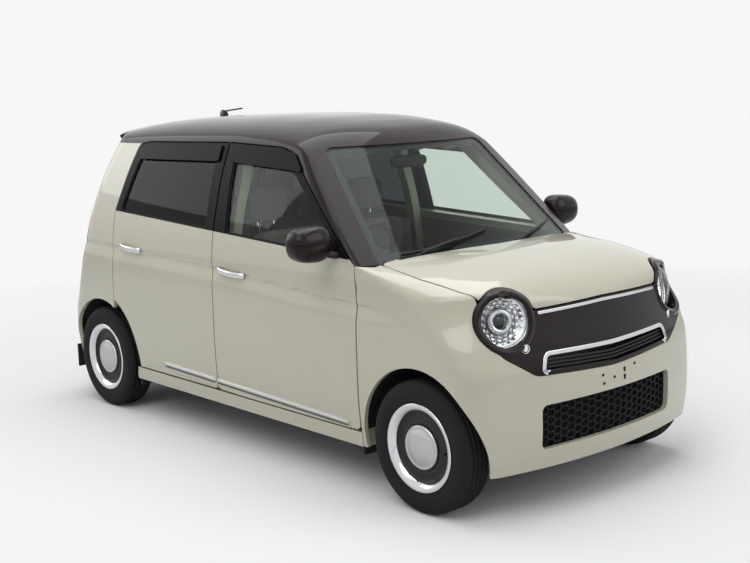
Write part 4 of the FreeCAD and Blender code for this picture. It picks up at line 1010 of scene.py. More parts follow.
def paint_bumpers():
    region = [(1531, 740.5, 0), (1493, 500, 0), (1400, 212, 30), (1900, 200, 0), (1900, 800, 0),
              (1590, 800, 0)]
    patch("front_bumper_skin", "body", "cream paint", nose_grid(1.3, (0.195, 0.82), 0.014, 0.012),
          [within(region), goggle_keep(0.003, False), off_arch(FRONT_AXLE, WING_ARCH),
           without(INTAKE, END_VIEW, 0.002)],
          0.022, inner_finish="black plastic", nodes=["front_bumper"])
    patch("rear_bumper_skin", "body", "cream paint", tail_grid(1.5, (0.20, 0.56), 0.014, 0.012),
          [lambda p: p[:, 0] + 1.3190, above(213), below(549), off_arch(REAR_AXLE, WING_ARCH)],
          0.022, inner_finish="black plastic", nodes=["rear_bumper"])


def paint_tailgate():
    patch("tailgate_skin", "tailgate", "cream paint", back_grid(0.57, (0.55, 1.565), 0.013),
          [within(TAILGATE, END_VIEW, -0.002), without(TAIL_WINDOW, END_VIEW),
           lambda p: roof_only(p + np.array((0, 0, 0.026)))],
          0.030, inner_finish="black plastic", nodes=["tailgate"])


PLATE = (0.330, 0.165)
PLATE_Z = 0.470
HANDLE_Z = 0.925


def fit_tail_details():
    """The tailgate's handle bar, wiper and high lamp, and the bumper's blank plate and reflectors."""
    patch("tail_plate_seat", "body", "grey trim", tail_grid(0.30, (0.36, 0.56), 0.008, 0.006),
          [within([(-182, 376, 12), (182, 376, 12), (182, 546, 12), (-182, 546, 12)], END_VIEW)],
          0.002, 0.0008, 0.0015)
    half, tall = PLATE[0] / 2, PLATE[1] / 2
    low, high = on_tail([0, 0], [PLATE_Z - tall, PLATE_Z + tall], 0.009)
    centre, rise = (low + high) / 2, (high - low).normalized()
    out = Vector((-rise.z, 0, rise.x))
    corners = [centre + Vector((0, y, 0)) + rise * z
               for y, z in ((-half, -tall), (half, -tall), (half, tall), (-half, tall))]
    points = corners + [c + out * 0.0018 for c in corners]
    faces = [[0, 1, 2, 3], [4, 7, 6, 5], [0, 4, 5, 1], [1, 5, 6, 2], [2, 6, 7, 3], [3, 7, 4, 0]]
    settle(make_object("tail_plate_blank", points, faces, None, "blank plate"), "body")
    swept("tail_handle_bar", on_tail(np.linspace(-0.225, 0.225, 13), HANDLE_Z, 0.006),
          oval(0.030, 0.022, 20, 2.8),
          "chrome", "tailgate", ACROSS, 3)
    arm = [on_tail(y, z, out)[0] for y, z,
           out in ((0.0, 1.066, 0.006), (0.03, 1.095, 0.020), (0.17, 1.118, 0.019))]
    swept("rear_wiper_arm", arm, oval(0.014, 0.010, 12), "black plastic", "tailgate", ACROSS, 6)
    swept("rear_wiper_blade", on_tail(np.linspace(0.02, 0.31, 9), np.linspace(1.112, 1.122, 9), 0.009),
          oval(0.012, 0.011, 10), "black plastic", "tailgate", ACROSS, 3)
    patch("tail_high_lamp", "tailgate", "red lens", back_grid(0.13, (1.41, 1.47), 0.008, 0.006),
          [within([(-105, 1432, 6), (105, 1432, 6), (105, 1451, 6), (-105, 1451, 6)], END_VIEW)],
          0.004, 0.0008, 0.003)
    for name, sign in SIDES:
        right, left = side_span(sign, 440, 560)
        patch("tail_reflector_" + name, "body", "red lens", tail_grid(1.5, (0.35, 0.42), 0.008, 0.006),
              [within([(right, 372, 14), (left, 372, 14), (left, 402, 14), (right, 402, 14)], END_VIEW)],
              0.004, 0.0008, 0.0025)


def off_screen(p):
    """Outside the windscreen's opening, for what lies ahead of the front seats."""
    return -np.maximum(outline_distance(SCREEN, list(END_VIEW), 0.001)(p), 0.25 - p[:, 0])


def pillar_rays(sign):
    """Rays from a line behind the screen's edge: u runs up the pillar, v turns about it."""
    foot, top = np.array((0.90, 0.58, 0.96)), np.array((0.30, 0.44, 1.44))

    def rays(u, v):
        origin = foot + (top - foot) * u[:, None]
        spread = stack(0.67 * np.cos(v), np.sin(v), 0.74 * np.cos(v) + 0.12 * np.sin(v))
        return origin * flipped(sign), spread / np.linalg.norm(spread, axis=1)[:, None] * flipped(sign)
    return rays


def paint_roof():
    def edge(p):
        return np.where(p[:, 0] < 0.262, 1.4635, 1.44) - p[:, 2]
    left_doors = [for_side(1, without(outline, grow=ROOF_ROOM)) for outline in (FRONT_DOOR, REAR_DOOR)]
    grid = (cabin_body, roof_rays, steps(-1.27, 0.60, 0.018), steps(-1.22, 1.22, 0.03))
    patch("roof_skin", "body", "brown paint", grid,
          [lambda p: -1.2605 - p[:, 0], edge, off_screen, *left_doors],
          0.020, inner_finish="headliner", nodes=["roof_panel"])
    for name, sign in SIDES:
        # The screen pillars take the darker panel gloss instead of the roof's brown paint: dark paint, drawn
        # darker still as painted shade.
        grid = (cabin_body, pillar_rays(sign), steps(-0.12, 1.25, 0.014), steps(-0.6, 1.9, 0.05))
        patch("screen_pillar_" + name, "body", "panel gloss", grid,
              [off_screen, without(FRONT_DOOR, grow=ROOF_ROOM), below(1440), above(986)],
              0.018, 0.0003, inner_finish="headliner")
    outline = [(-1268, 545, 4), (-1268, -545, 4), (-1288, -525, 16), (-1348, -250, 300), (-1348, 250, 300),
               (-1288, 525, 16)]
    grid = (roof_only, roof_rays, steps(-1.36, -1.26, 0.008), steps(-1.0, 1.0, 0.025))
    patch("tail_visor", "tailgate", "brown paint", grid, [within(outline, PLAN)], 0.017, 0.0025,
          nodes=["tailgate_spoiler"])


def fit_glass():
    def screen_rays(u, v):
        return stack(0.0, u, v), stack(1, 0 * u, 0)

    def pane(p):
        return screen_gap(p) + 0.004
    screen = (pane, screen_rays, steps(-0.63, 0.63, 0.02), steps(0.97, 1.47, 0.02))
    patch("windscreen_glass", "body", "clear glass", screen, [within(SCREEN, END_VIEW, -0.001)], 0.005,
          0.0008,
          nodes=["windscreen"])
    clear = [(-570, 1030, 40), (570, 1030, 40), (466, 1438, 40), (-466, 1438, 40)]
    screen = (pane, screen_rays, steps(-0.63, 0.63, 0.012), steps(0.97, 1.47, 0.012))
    patch("windscreen_border", "body", "glass border", screen,
          [within(SCREEN, END_VIEW, -0.002), without(clear, END_VIEW)], 0.0015, 0.0003, -0.0065)
    for name, sign in SIDES:
        for place, finish, xs in (("front", "clear glass", (-0.10, 0.83)),
                                  ("rear", "privacy glass", (-1.07, -0.22))):
            body, outline = f"door_{place}_{name}", DOORS[place][1]
            patch(f"side_glass_{place}_{name}", body, finish, side_grid(sign, xs, (1.0, 1.45), 0.02),
                  [within(outline, grow=0.003)], 0.004, 0.0006, -0.010, nodes=[f"glass_{place}_{name}"])
            patch(f"window_seal_{place}_{name}", body, "seal rubber", side_grid(sign, xs, (1.0, 1.45), 0.01),
                  [within(outline, grow=0.001), without(outline, grow=-0.009)], 0.004, 0.001, -0.004)
    patch("tailgate_pane", "tailgate", "privacy glass", back_grid(0.51, (1.07, 1.42), 0.02),
          [within(TAIL_WINDOW, END_VIEW, 0.001)], 0.004, 0.0006, -0.006, nodes=["tailgate_glass"])
    patch("tailgate_seal", "tailgate", "seal rubber", back_grid(0.51, (1.07, 1.42), 0.012),
          [within(TAIL_WINDOW, END_VIEW, 0.001), without(TAIL_WINDOW, END_VIEW, -0.012)], 0.004, 0.001,
          -0.003)


FACET = (0.0042, 0.0036)
FACET_RISE = 0.0016


def lamp_facet():
    """A small domed mirror tile, repeated round the lamp bowl."""
    grid = [(x, y) for x in range(-2, 3) for y in range(-2, 3)]
    points = [(FACET_RISE * (1 - (x * x + y * y) / 8), x * FACET[0], y * FACET[1]) for x, y in grid]
    points += [(-0.002, x * FACET[0], y * FACET[1]) for x, y in grid]
    faces = []
    for i in range(4):
        for k in range(4):
            a = i * 5 + k
            faces += [[a, a + 5, a + 6, a + 1], [a + 26, a + 31, a + 30, a + 25]]
    edge = [0, 5, 10, 15, 20, 21, 22, 23, 24, 19, 14, 9, 4, 3, 2, 1]
    faces += [[b, a, a + 25, b + 25] for a, b in zip(edge, edge[1:] + edge[:1])]
    tile = make_object("lamp_facet", points, faces, None, "reflector")
    recalculate(tile)
    return tile


POSITION_LAMP = (0.475, 0.700)
# Rows of facets: radius, distance along the lamp's axis and count.
FACET_ROWS = ((0.088, -0.022, 22), (0.072, -0.038, 18), (0.058, -0.052, 14))
# Turned parts of a headlamp: profile of (radius, distance along the axis), finish and wall.
LAMP_PARTS = {
    "lamp_lens": ([(0, 0.040), (0.03, 0.0385), (0.06, 0.032), (0.082, 0.021), (0.096, 0.008),
                   (0.1015, -0.006),
                   (0.1015, -0.014)], "lamp glass", 0.003),
    "lamp_bowl": ([(0.1015, -0.012), (0.094, -0.020), (0.074, -0.045), (0.050, -0.066), (0.030, -0.076)],
                  "reflector", -0.003),
    "lamp_projector": ([(0.046, -0.074), (0.046, -0.030), (0.043, -0.026), (0.036, -0.028), (0.034, -0.030)],
                       "chrome", -0.003),
    "lamp_bulb_glass": ([(0, -0.010), (0.012, -0.012), (0.024, -0.019), (0.034, -0.031)], "lamp glass",
                        0.002),
    "lamp_ring": ([(0.1075, -0.010), (0.1065, -0.001), (0.104, 0.003), (0.1015, 0.001), (0.1005, -0.010)],
                  "chrome", -0.002),
}


def fit_nose_panel():
    def ring(p):
        r = np.minimum(lamp_radius(p, 1), lamp_radius(p, -1))
        return 0.009 * np.exp(-((r - 0.117) / 0.010) ** 2) * (p[:, 0] > 1.2)
    patch("nose_panel", "body", "panel gloss", nose_grid(1.15, (0.555, 0.945), 0.009, 0.006),
          [goggle_keep(-0.002), without(GRILLE_SLOT, END_VIEW, 0.002),
           lambda p: LAMP_R + 0.002 - lamp_radius(p, 1), lambda p: LAMP_R + 0.002 - lamp_radius(p, -1)],
          0.024, relief=ring, nodes=["grille_panel"])
    open_above = [(-390, 500, 0), (390, 500, 0), (390, 600, 0), (0, 640, 0), (-390, 600, 0)]
    patch("grille_loop", "body", "chrome", nose_grid(0.75, (0.56, 0.71), 0.008, 0.004),
          [within(GRILLE_SLOT, END_VIEW, 0.013), without(GRILLE_SLOT, END_VIEW, 0.001),
           without(open_above, END_VIEW)], 0.004, 0.003, 0.006, nodes=["grille_mouldings"])
    bar = [(-380, 823, 3), (0, 829, 0), (380, 823, 3), (380, 832, 3), (0, 838, 0), (-380, 832, 3)]
    patch("nose_strip", "body", "chrome", nose_grid(0.75, (0.80, 0.86), 0.008, 0.003),
          [within(bar, END_VIEW)],
          0.003, 0.002, 0.004)
    for row, share in enumerate((0.25, 0.5, 0.75)):
        low = 604 + 58 * share
        slat = [(-400, low - 3, 0), (0, low - 23, 0), (400, low - 3, 0), (400, low + 3, 0), (0, low - 17, 0),
                (-400, low + 3, 0)]
        patch(f"grille_slat_{row}", "body", "black plastic", nose_grid(0.75, (0.56, 0.70), 0.01, 0.003),
              [within(slat, END_VIEW)], 0.018, 0.001, -0.008)


def set_facets(name, centre, axis):
    """Rows of mirror tiles round a lamp's bowl, each turned towards its axis."""
    turn = Vector((0, 0, 1)).rotation_difference(axis).to_matrix()
    facets = []
    for row, (radius, along, count) in enumerate(FACET_ROWS):
        for k in range(count):
            angle = 2 * math.pi * (k + row / 2) / count
            way = turn @ Vector((math.cos(angle), math.sin(angle), 0))
            facets.append((centre + way * radius + axis * along, (axis * 0.8 - way * 0.6).normalized()))
    scatter(f"lamp_facets_{name}", lamp_facet(), facets, "body", "reflector")


def fit_headlamps():
    for name, sign in SIDES:
        centre, axis = LAMP * flipped(sign), LAMP_AXIS * flipped(sign)
        at = on_nose(*POSITION_LAMP, 0.8) * flipped(sign)
        out = Vector((0.93, 0.28 * sign, -0.05))
        bezel = [(0.0185, -0.004), (0.0185, 0.0045), (0.0165, 0.006), (0.0145, 0.0035), (0.0145, -0.002)]
        turned(f"position_lamp_bezel_{name}", bezel, at, out, "chrome", 0.0006, sides=40)
        turned(f"position_lamp_lens_{name}",
               [(0, 0.0055), (0.007, 0.005), (0.0125, 0.0025), (0.0148, -0.001)],
               at, out, "reflector", 0.001, sides=40)
        for part, (profile, finish, wall) in LAMP_PARTS.items():
            turned(f"{part}_{name}", profile, centre, axis, finish, wall,
                   nodes=[f"headlamp_{name}"] if part == "lamp_lens" else [])
            if part == "lamp_bowl":
                set_facets(name, Vector(centre), Vector(axis))


# The way up of a swept section, by how its path runs.
UPRIGHT = (0, 0, 1)
ACROSS = (1, 0, 0)
ALONG = (0, 1, 0)


def turned(name, profile, centre, axis, finish, wall=0.0, body="body", sides=72, nodes=()):
    """Spin a profile of (radius, distance along the axis) into a smooth shell."""
    turn = Vector((0, 0, 1)).rotation_difference(Vector(axis).normalized()).to_matrix()
    points, rings, faces = [], [], []
    for radius, along in profile:
        count = 1 if radius < 1e-6 else sides
        rings.append(range(len(points), len(points) + count))
        for k in range(count):
            angle = 2 * math.pi * k / sides
            points.append(turn @ Vector((radius * math.cos(angle), radius * math.sin(angle),
                                         along)) + Vector(centre))
    for first, second in zip(rings, rings[1:]):
        for k in range(sides):
            quad = [first[k % len(first)], first[(k + 1) % len(first)],
                    second[(k + 1) % len(second)], second[k % len(second)]]
            quad = list(dict.fromkeys(quad))
            if len(quad) > 2:
                faces.append(quad)
    return settle(make_object(name, points, faces, None, finish), body, nodes, wall)


def settle(obj, body, nodes=(), wall=0.0):
    """Turn the faces outwards, give a shell its wall and hang the piece on its body."""
    recalculate(obj)
    if wall:
        thicken(obj, wall)
    if body:
        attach(obj, body)
    if nodes:
        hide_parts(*nodes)
    return obj


def recalculate(obj):
    work = bmesh.new()
    work.from_mesh(obj.data)
    bmesh.ops.remove_doubles(work, verts=work.verts, dist=1e-6)
    bmesh.ops.recalc_face_normals(work, faces=work.faces)
    work.to_mesh(obj.data)
    work.free()


def thicken(obj, wall):
    """Give a shell a wall, applied at once."""
    wall_maker = obj.modifiers.new("wall", "SOLIDIFY")
    wall_maker.thickness = abs(wall)
    wall_maker.offset = -1.0 if wall > 0 else 1.0
    bake(obj)


def bake(obj):
    """Apply every modifier of an object."""
    evaluated = obj.evaluated_get(bpy.context.evaluated_depsgraph_get())
    mesh = bpy.data.meshes.new_from_object(evaluated)
    mesh.name = obj.data.name + "_done"
    obj.modifiers.clear()
    obj.data = mesh


def tube_faces(count, rings):
    """Faces of a closed tube of rings with both ends capped."""
    faces = []
    for i in range(rings - 1):
        for k in range(count):
            a, b = i * count + k, i * count + (k + 1) % count
            faces.append([a, b, b + count, a + count])
    faces.append(list(range(count)))
    faces.append([(rings - 1) * count + k for k in range(count)])
    return faces


def swept(name, path, section, finish, body, up=UPRIGHT, per_leg=0, nodes=()):
    """A closed section of (side, up) offsets carried along a path, smoothed first by points per leg."""
    path = smooth_path(path, per_leg) if per_leg else [Vector(q) for q in path]
    points = []
    for k, here in enumerate(path):
        ahead = (path[min(k + 1, len(path) - 1)] - path[max(k - 1, 0)]).normalized()
        side = ahead.cross(Vector(up)).normalized()
        rise = side.cross(ahead)
        points += [here + side * a + rise * b for a, b in section]
    return settle(make_object(name, points, tube_faces(len(section), len(path)), None, finish), body, nodes)


def power_of(value, power):
    return math.copysign(abs(value) ** (2 / power), value)


def oval(width, height, count=16, power=2.0):
    """Section points of a rounded form, from 2 (an ellipse) to squarer."""
    angles = [2 * math.pi * k / count for k in range(count)]
    return [(power_of(math.cos(a), power) * width / 2,
             power_of(math.sin(a), power) * height / 2) for a in angles]


def smooth_path(points, per_leg):
    """Points along a smooth curve through the given ones."""
    q = [Vector(p) for p in points]
    q = [q[0] * 2 - q[1]] + q + [q[-1] * 2 - q[-2]]
    result = []
    for before, here, after, beyond in zip(q, q[1:], q[2:], q[3:]):
        for k in range(per_leg):
            t = k / per_leg
            bend = (2 * before - 5 * here + 4 * after - beyond) * t * t
            result.append(0.5 * ((2 * here) + (after - before) * t + bend
                                 + (3 * here - before - 3 * after + beyond) * t ** 3))
    result.append(q[-2])
    return result


def pod(name, centre, size, finish, body, power=2.6, shape=None, columns=48, rows=28, nodes=()):
    """A closed rounded form; shape may push its unit points about before they are sized."""
    points, faces = [], []
    for i in range(rows + 1):
        v = math.pi * (i / rows - 0.5)
        for j in range(columns):
            u = 2 * math.pi * j / columns
            q = [math.cos(v) * math.cos(u), math.cos(v) * math.sin(u), math.sin(v)]
            q = [power_of(c, power) for c in q]
            if shape:
                q = shape(*q)
            points.append([centre[k] + q[k] * size[k] for k in range(3)])
    for i in range(rows):
        for j in range(columns):
            k = (j + 1) % columns
            faces.append([i * columns + j, i * columns + k, (i + 1) * columns + k, (i + 1) * columns + j])
    return settle(make_object(name, points, faces, None, finish), body, nodes)


def from_work(name, work):
    """A new object from a working mesh."""
    mesh = bpy.data.meshes.new(name)
    work.to_mesh(mesh)
    work.free()
    obj = bpy.data.objects.new(name, mesh)
    bpy.context.scene.collection.objects.link(obj)
    return obj


def rounded_block(name, low, high, radius, finish, segments=3):
    """A block between two corners with its edges rounded."""
    work = bmesh.new()
    bmesh.ops.create_cube(work, size=1)
    for v in work.verts:
        v.co = Vector([(low[k] + high[k]) / 2 + v.co[k] * (high[k] - low[k]) for k in range(3)])
    bmesh.ops.bevel(work, geom=work.edges[:], offset=radius, segments=segments, affect="EDGES", profile=0.5)
    obj = from_work(name, work)
    for polygon in obj.data.polygons:
        polygon.use_smooth = True
    finish_with(obj, finish)
    weighted = obj.modifiers.new("edges", "WEIGHTED_NORMAL")
    weighted.keep_sharp = True
    bake(obj)
    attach(obj, "body")


COPY_SOCKETS = (("Geometry", "INPUT", "NodeSocketGeometry"), ("Template", "INPUT", "NodeSocketObject"),
                ("Size", "INPUT", "NodeSocketFloat"), ("Geometry", "OUTPUT", "NodeSocketGeometry"))


def scatter(name, template, places, body, finish):
    """Set copies of a template mesh at places (position, outward direction) through a Geometry Nodes tree."""
    cloud = bpy.data.meshes.new(name + "_points")
    cloud.from_pydata([tuple(p) for p, _ in places], [], [])
    facing = cloud.attributes.new("facing", "FLOAT_VECTOR", "POINT")
    for k, (_, n) in enumerate(places):
        facing.data[k].vector = n
    obj = bpy.data.objects.new(name, cloud)
    bpy.context.scene.collection.objects.link(obj)
    group = bpy.data.node_groups.new(name + "_tree", "GeometryNodeTree")
    template_key = None
    for socket, way, kind in COPY_SOCKETS:
        item = group.interface.new_socket(socket, in_out=way, socket_type=kind)
        if socket == "Size":
            item.default_value = 1.0
        if socket == "Template":
            template_key = item.identifier
    tree = Tree(group)
    start = tree.node("NodeGroupInput", output="Geometry")
    shape = tree.node("GeometryNodeObjectInfo", None, {"Object": start.beside("Template")}, "Geometry")
    read = tree.node("GeometryNodeInputNamedAttribute", {"data_type": "FLOAT_VECTOR"}, {"Name": "facing"},
                     "Attribute")
    turn = tree.node("FunctionNodeAlignRotationToVector", {"axis": "X"}, {"Vector": read}, "Rotation")
    upright = tree.node("FunctionNodeAlignRotationToVector", {"axis": "Z", "pivot_axis": "X"},
                        {"Vector": (0, 0, 1), "Rotation": turn}, "Rotation")
    copies = {"Points": start, "Instance": shape, "Rotation": upright, "Scale": start.beside("Size")}
    stamped = tree.node("GeometryNodeInstanceOnPoints", None, copies, "Instances")
    real = tree.node("GeometryNodeRealizeInstances", None, {"Geometry": stamped}, "Geometry")
    coated = tree.node("GeometryNodeSetMaterial", None, {"Geometry": real, "Material": material(finish)},
                       "Geometry")
    tree.node("NodeGroupOutput", None, {"Geometry": coated})
    maker = obj.modifiers.new("copies", "NODES")
    maker.node_group = group
    maker[template_key] = template
    bake(obj)
    bpy.data.objects.remove(template)
    finish_with(obj, finish)
    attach(obj, body)


def fit_tail_lamps():
    def off_middle(p):
        return 0.572 - np.abs(p[:, 1])
    for name, sign in SIDES:
        patch(f"tail_lens_{name}", "body", "red lens", quarter_grid(sign, (-1.2, -1.86), (0.77, 1.11), 0.010),
              [within(TAIL_LAMP, grow=-0.001), off_middle, below(1000)], 0.030, 0.0025, 0.001,
              nodes=[f"tail_lamp_{name}"])
        patch(f"tail_indicator_{name}", "body", "amber lens",
              quarter_grid(sign, (-1.2, -1.86), (0.99, 1.11), 0.010, 0.008),
              [within(TAIL_LAMP, grow=-0.001), off_middle, above(1003)], 0.030, 0.0025, 0.001)


# Loops of one cell of the intake mesh: radius and depth.
CELL_LOOPS = ((0.0165, 0.007), (0.0185, 0.007), (0.0185, -0.007), (0.0165, -0.007))
CELL_WIDTH = 1.30
CELL_PITCH = 1.138
# Holes of the number plate's holder, drawn as near-black blocks of painted shade: y, z and half their height.
PLATE_HOLE_SHADES = ((-0.078, 0.534, 0.0055), (-0.074, 0.498, 0.0055), (-0.005, 0.514, 0.0055),
               (0.064, 0.534, 0.011),
               (0.064, 0.503, 0.011), (0.138, 0.546, 0.0055))


def mesh_cell():
    """One six-sided cell of the intake mesh."""
    work = bmesh.new()
    loops = []
    for radius, depth in CELL_LOOPS:
        turns = [math.pi * k / 3 for k in range(6)]
        loops.append([work.verts.new((depth, radius * math.cos(a) * CELL_WIDTH,
                                      radius * math.sin(a))) for a in turns])
    for a, b in zip(loops, loops[1:] + loops[:1]):
        for k in range(6):
            work.faces.new((a[k], a[(k + 1) % 6], b[(k + 1) % 6], b[k]))
    bmesh.ops.recalc_face_normals(work, faces=work.faces)
    return from_work("cell", work)


def fit_lower_grille():
    """A mesh of six-sided cells behind the bumper's intake, on a near-black sheet of painted shade."""
    # The near-black sheet paints the shade inside the intake's opening.
    patch("intake_backing", "body", "seal rubber", nose_grid(0.9, (0.27, 0.48), 0.03, 0.02),
          [within(INTAKE, END_VIEW, 0.012)], 0.003, 0.001, -0.046, nodes=["lower_grille"])
    ys, zs = [], []
    pitch = chosen("car_sizes").mesh_pitch
    for i in range(-12, 13):
        for j in range(7):
            y, z = i * pitch * CELL_PITCH, 0.281 + j * pitch + (pitch / 2 if i % 2 else 0)
            if abs(y) < 0.415 and 0.278 < z < 0.472:
                ys.append(y)
                zs.append(z)
    at = shoot(front_body, *nose_rays(np.arctan2(np.array(ys) * 0.9, 0.55), np.array(zs)))
    facing = slopes(front_body, at)
    facing /= np.linalg.norm(facing, axis=1)[:, None]
    scatter("intake_mesh", mesh_cell(), list(zip(at - facing * 0.030, facing)), "body", "black plastic")
    # Near-black blocks in the plate holder's holes: painted shade.
    for k, (y, z, tall) in enumerate(PLATE_HOLE_SHADES):
        spot = on_nose(y, z)
        rounded_block(f"plate_slot_{k}", spot + np.array((-0.004, -0.0075, -tall)),
                      spot + np.array((0.0006, 0.0075, tall)), 0.0004, "seal rubber", 1)


TYRE_WALL = [(0.1785, -0.066), (0.182, -0.0685), (0.190, -0.0695), (0.205, -0.0755), (0.225, -0.0775),
             (0.245, -0.0762), (0.259, -0.0715), (0.268, -0.0655), (0.2745, -0.058), (0.277, -0.050)]
TREAD_R = 0.2783
GROOVE_R = 0.2715
GROOVES = [(r, y + d) for y in (-0.036, -0.012, 0.012, 0.036)
           for r, d in ((TREAD_R, -0.0045), (GROOVE_R, -0.0035), (GROOVE_R, 0.0035), (TREAD_R, 0.0045))]
TYRE = TYRE_WALL + GROOVES + [(r, -y) for r, y in reversed(TYRE_WALL)] + TYRE_WALL[:1]
# Turned parts of a wheel: profile, finish, wall, sides and the CAD node whose place each takes.
WHEEL_PARTS = {
    "tyre_carcass": (TYRE, "tyre rubber", 0, 96, "tyre"),
    "wheel_trim_ring": ([(0.1475, 0.0490), (0.1500, 0.0540), (0.1540, 0.0600), (0.1600, 0.0665),
                         (0.1680, 0.0712),
                         (0.1760, 0.0738), (0.1822, 0.0742), (0.1848, 0.0728), (0.1850, 0.0700),
                         (0.1780, 0.0690)],
                        "chrome", 0.0022, 72, "rim"),
    "wheel_disc": ([(0.1510, 0.0540), (0.1475, 0.0465), (0.1400, 0.0415), (0.1280, 0.0400), (0.1150, 0.0440),
                    (0.1040, 0.0470), (0.0960, 0.0450), (0.0930, 0.0400)], "dark wheel", 0.0035, 72, None),
    "wheel_cap": ([(0.0935, 0.0430), (0.0930, 0.0560), (0.0905, 0.0600), (0.0860, 0.0618), (0.0820, 0.0600),
                   (0.0790, 0.0598), (0.0700, 0.0650), (0.0520, 0.0703), (0.0300, 0.0734), (0.0, 0.0745)],
                  "silver cap", 0.0020, 72, None),
    "wheel_barrel": ([(0.1775, 0.0690), (0.1775, -0.0690), (0.1830, -0.0700), (0.1830, -0.0720),
                      (0.1740, -0.0710),
                      (0.1600, -0.0480), (0.1580, 0.0300), (0.1500, 0.0450)], "dark wheel", 0.0030, 72, None),
    "wheel_hub": ([(0.0, 0.034), (0.030, 0.034), (0.070, 0.0300), (0.0935, 0.0400)], "dark wheel", 0.0040, 48,
                  None),
}
SHOULDER_R = 0.2690
SHOULDER_Y = 0.0575
SHOULDER_LEAN = 0.42


def shoulder_block():
    """A block of the tyre's shoulder, narrower on its outer side."""
    work = bmesh.new()
    bmesh.ops.create_cube(work, size=1)
    for v in work.verts:
        wide, long = (0.0155, 0.0140) if v.co.x < 0 else (0.0135, 0.0120)
        v.co = Vector((v.co.x * 0.0065, v.co.y * wide, v.co.z * long))
    return from_work("tread_block", work)


def fit_wheel(tag, x, sign):
    body = "wheel_" + tag
    centre = Vector((x, sign * WHEEL_Y, AXLE_Z))
    for part, (profile, finish, wall, sides, node) in WHEEL_PARTS.items():
        nodes = [f"{node}_{tag}"] if node else []
        turned(f"{part}_{tag}", profile, centre, (0, sign, 0), finish, wall, body, sides, nodes)
    valve = [centre + Vector((0.135, 0.041 * sign, 0)), centre + Vector((0.133, 0.062 * sign, 0))]
    swept("tyre_valve_" + tag, valve, oval(0.008, 0.008, 10), "seal rubber", body, ACROSS)
    count = chosen("car_sizes").tread_blocks
    places = []
    for row in (-1, 1):
        lean = SHOULDER_LEAN * row
        for k in range(count):
            angle = 2 * math.pi * (k + (0.5 if row > 0 else 0)) / count
            facing = Vector((math.cos(angle) * math.cos(lean), math.sin(lean),
                             math.sin(angle) * math.cos(lean)))
            at = Vector((SHOULDER_R * math.cos(angle), SHOULDER_Y * row, SHOULDER_R * math.sin(angle)))
            places.append((centre + at, facing))
    scatter("tyre_shoulder_blocks_" + tag, shoulder_block(), places, body, "tyre rubber")


def fit_wheels():
    for name, sign in SIDES:
        for place, x in (("front", FRONT_AXLE), ("rear", REAR_AXLE)):
            fit_wheel(f"{place}_{name}", x, sign)


def fit_mirror(name, sign):
    body = f"door_front_{name}"

    def form(x, y, z):
        return (max(x, -0.42) * (1 - 0.10 * z * z), y * (1 - 0.10 * (z < 0) * z * z),
                z * (1 - 0.08 * y * sign))
    pod(f"mirror_housing_{name}", (0.7200, 0.8225 * sign, 1.078), (0.072, 0.1000, 0.0780), "panel gloss",
        body, 2.9,
        form, nodes=[f"mirror_{name}"])
    pod(f"mirror_pane_{name}", (0.6885, 0.8225 * sign, 1.0785), (0.004, 0.0860, 0.0620), "mirror glass", body,
        3.2,
        lambda x, y, z: (x * 0.12, y, z), 32, 16)
    foot = [(0.758, 0.700, 1.022), (0.756, 0.722, 1.026), (0.748, 0.750, 1.034), (0.742, 0.780, 1.050)]
    swept(f"mirror_arm_{name}", [(x, y * sign, z) for x, y, z in foot], oval(0.052, 0.030, 18, 2.6),
          "black plastic",
          body, per_leg=8)
    patch(f"mirror_sail_{name}", body, "sash black", side_grid(sign, (0.60, 0.90), (0.98, 1.22), 0.01),
          [within([(826, 1014, 6), (640, 1021, 6), (742, 1108, 20)])], 0.006, 0.001, 0.0015)


def fit_mirrors():
    for name, sign in SIDES:
        fit_mirror(name, sign)


# For each door, both ends of its handle as x and z.
HANDLES = {"front": ((-0.110, 0.884), (0.105, 0.868)), "rear": ((-1.010, 0.929), (-0.815, 0.913))}
LOCK = (-0.122, 0.886)
# For each door, the reach along the car and the outline of its window visor and of its sill mouldings.
VISORS = {
    "front": ((-0.13, 0.62),
              [(-118, 1388, 14), (392, 1362, 16), (462, 1352, 10), (372, 1436, 30), (262, 1455, 60),
                              (-118, 1466, 10)]),
    "rear": ((-1.00, -0.19), [(-212, 1388, 14), (-212, 1466, 10), (-900, 1458, 40), (-966, 1440, 30),
                              (-946, 1382, 20)]),
}
SILLS = {
    "front": ((-0.17, 0.86), [(-146, 292, 10), (836, 262, 16), (842, 318, 16), (-146, 338, 6)],
              [(-146, 328, 1), (836, 306, 1), (836, 314, 1), (-146, 336, 1)]),
    "rear": ((-0.71, -0.15),
             [(-164, 291, 10), (-164, 338, 6), (-600, 350, 20), (-692, 342, 10), (-560, 312, 40)],
             [(-164, 328, 1), (-164, 336, 1), (-600, 346, 6), (-676, 341, 3), (-600, 338, 6)]),
}
# How far below the bright line the grey strip sits; that strip is painted shadow under the bright line.
SHADOW_LINE_DROP = 16
# Mud guards: x, then the heights of their foot and top.
MUD_GUARDS = {
    "behind_rear_wheel": (-1.612, 0.168, 0.300), "ahead_of_rear_wheel": (-0.914, 0.172, 0.262),
    "behind_front_wheel": (0.905, 0.172, 0.262),
}


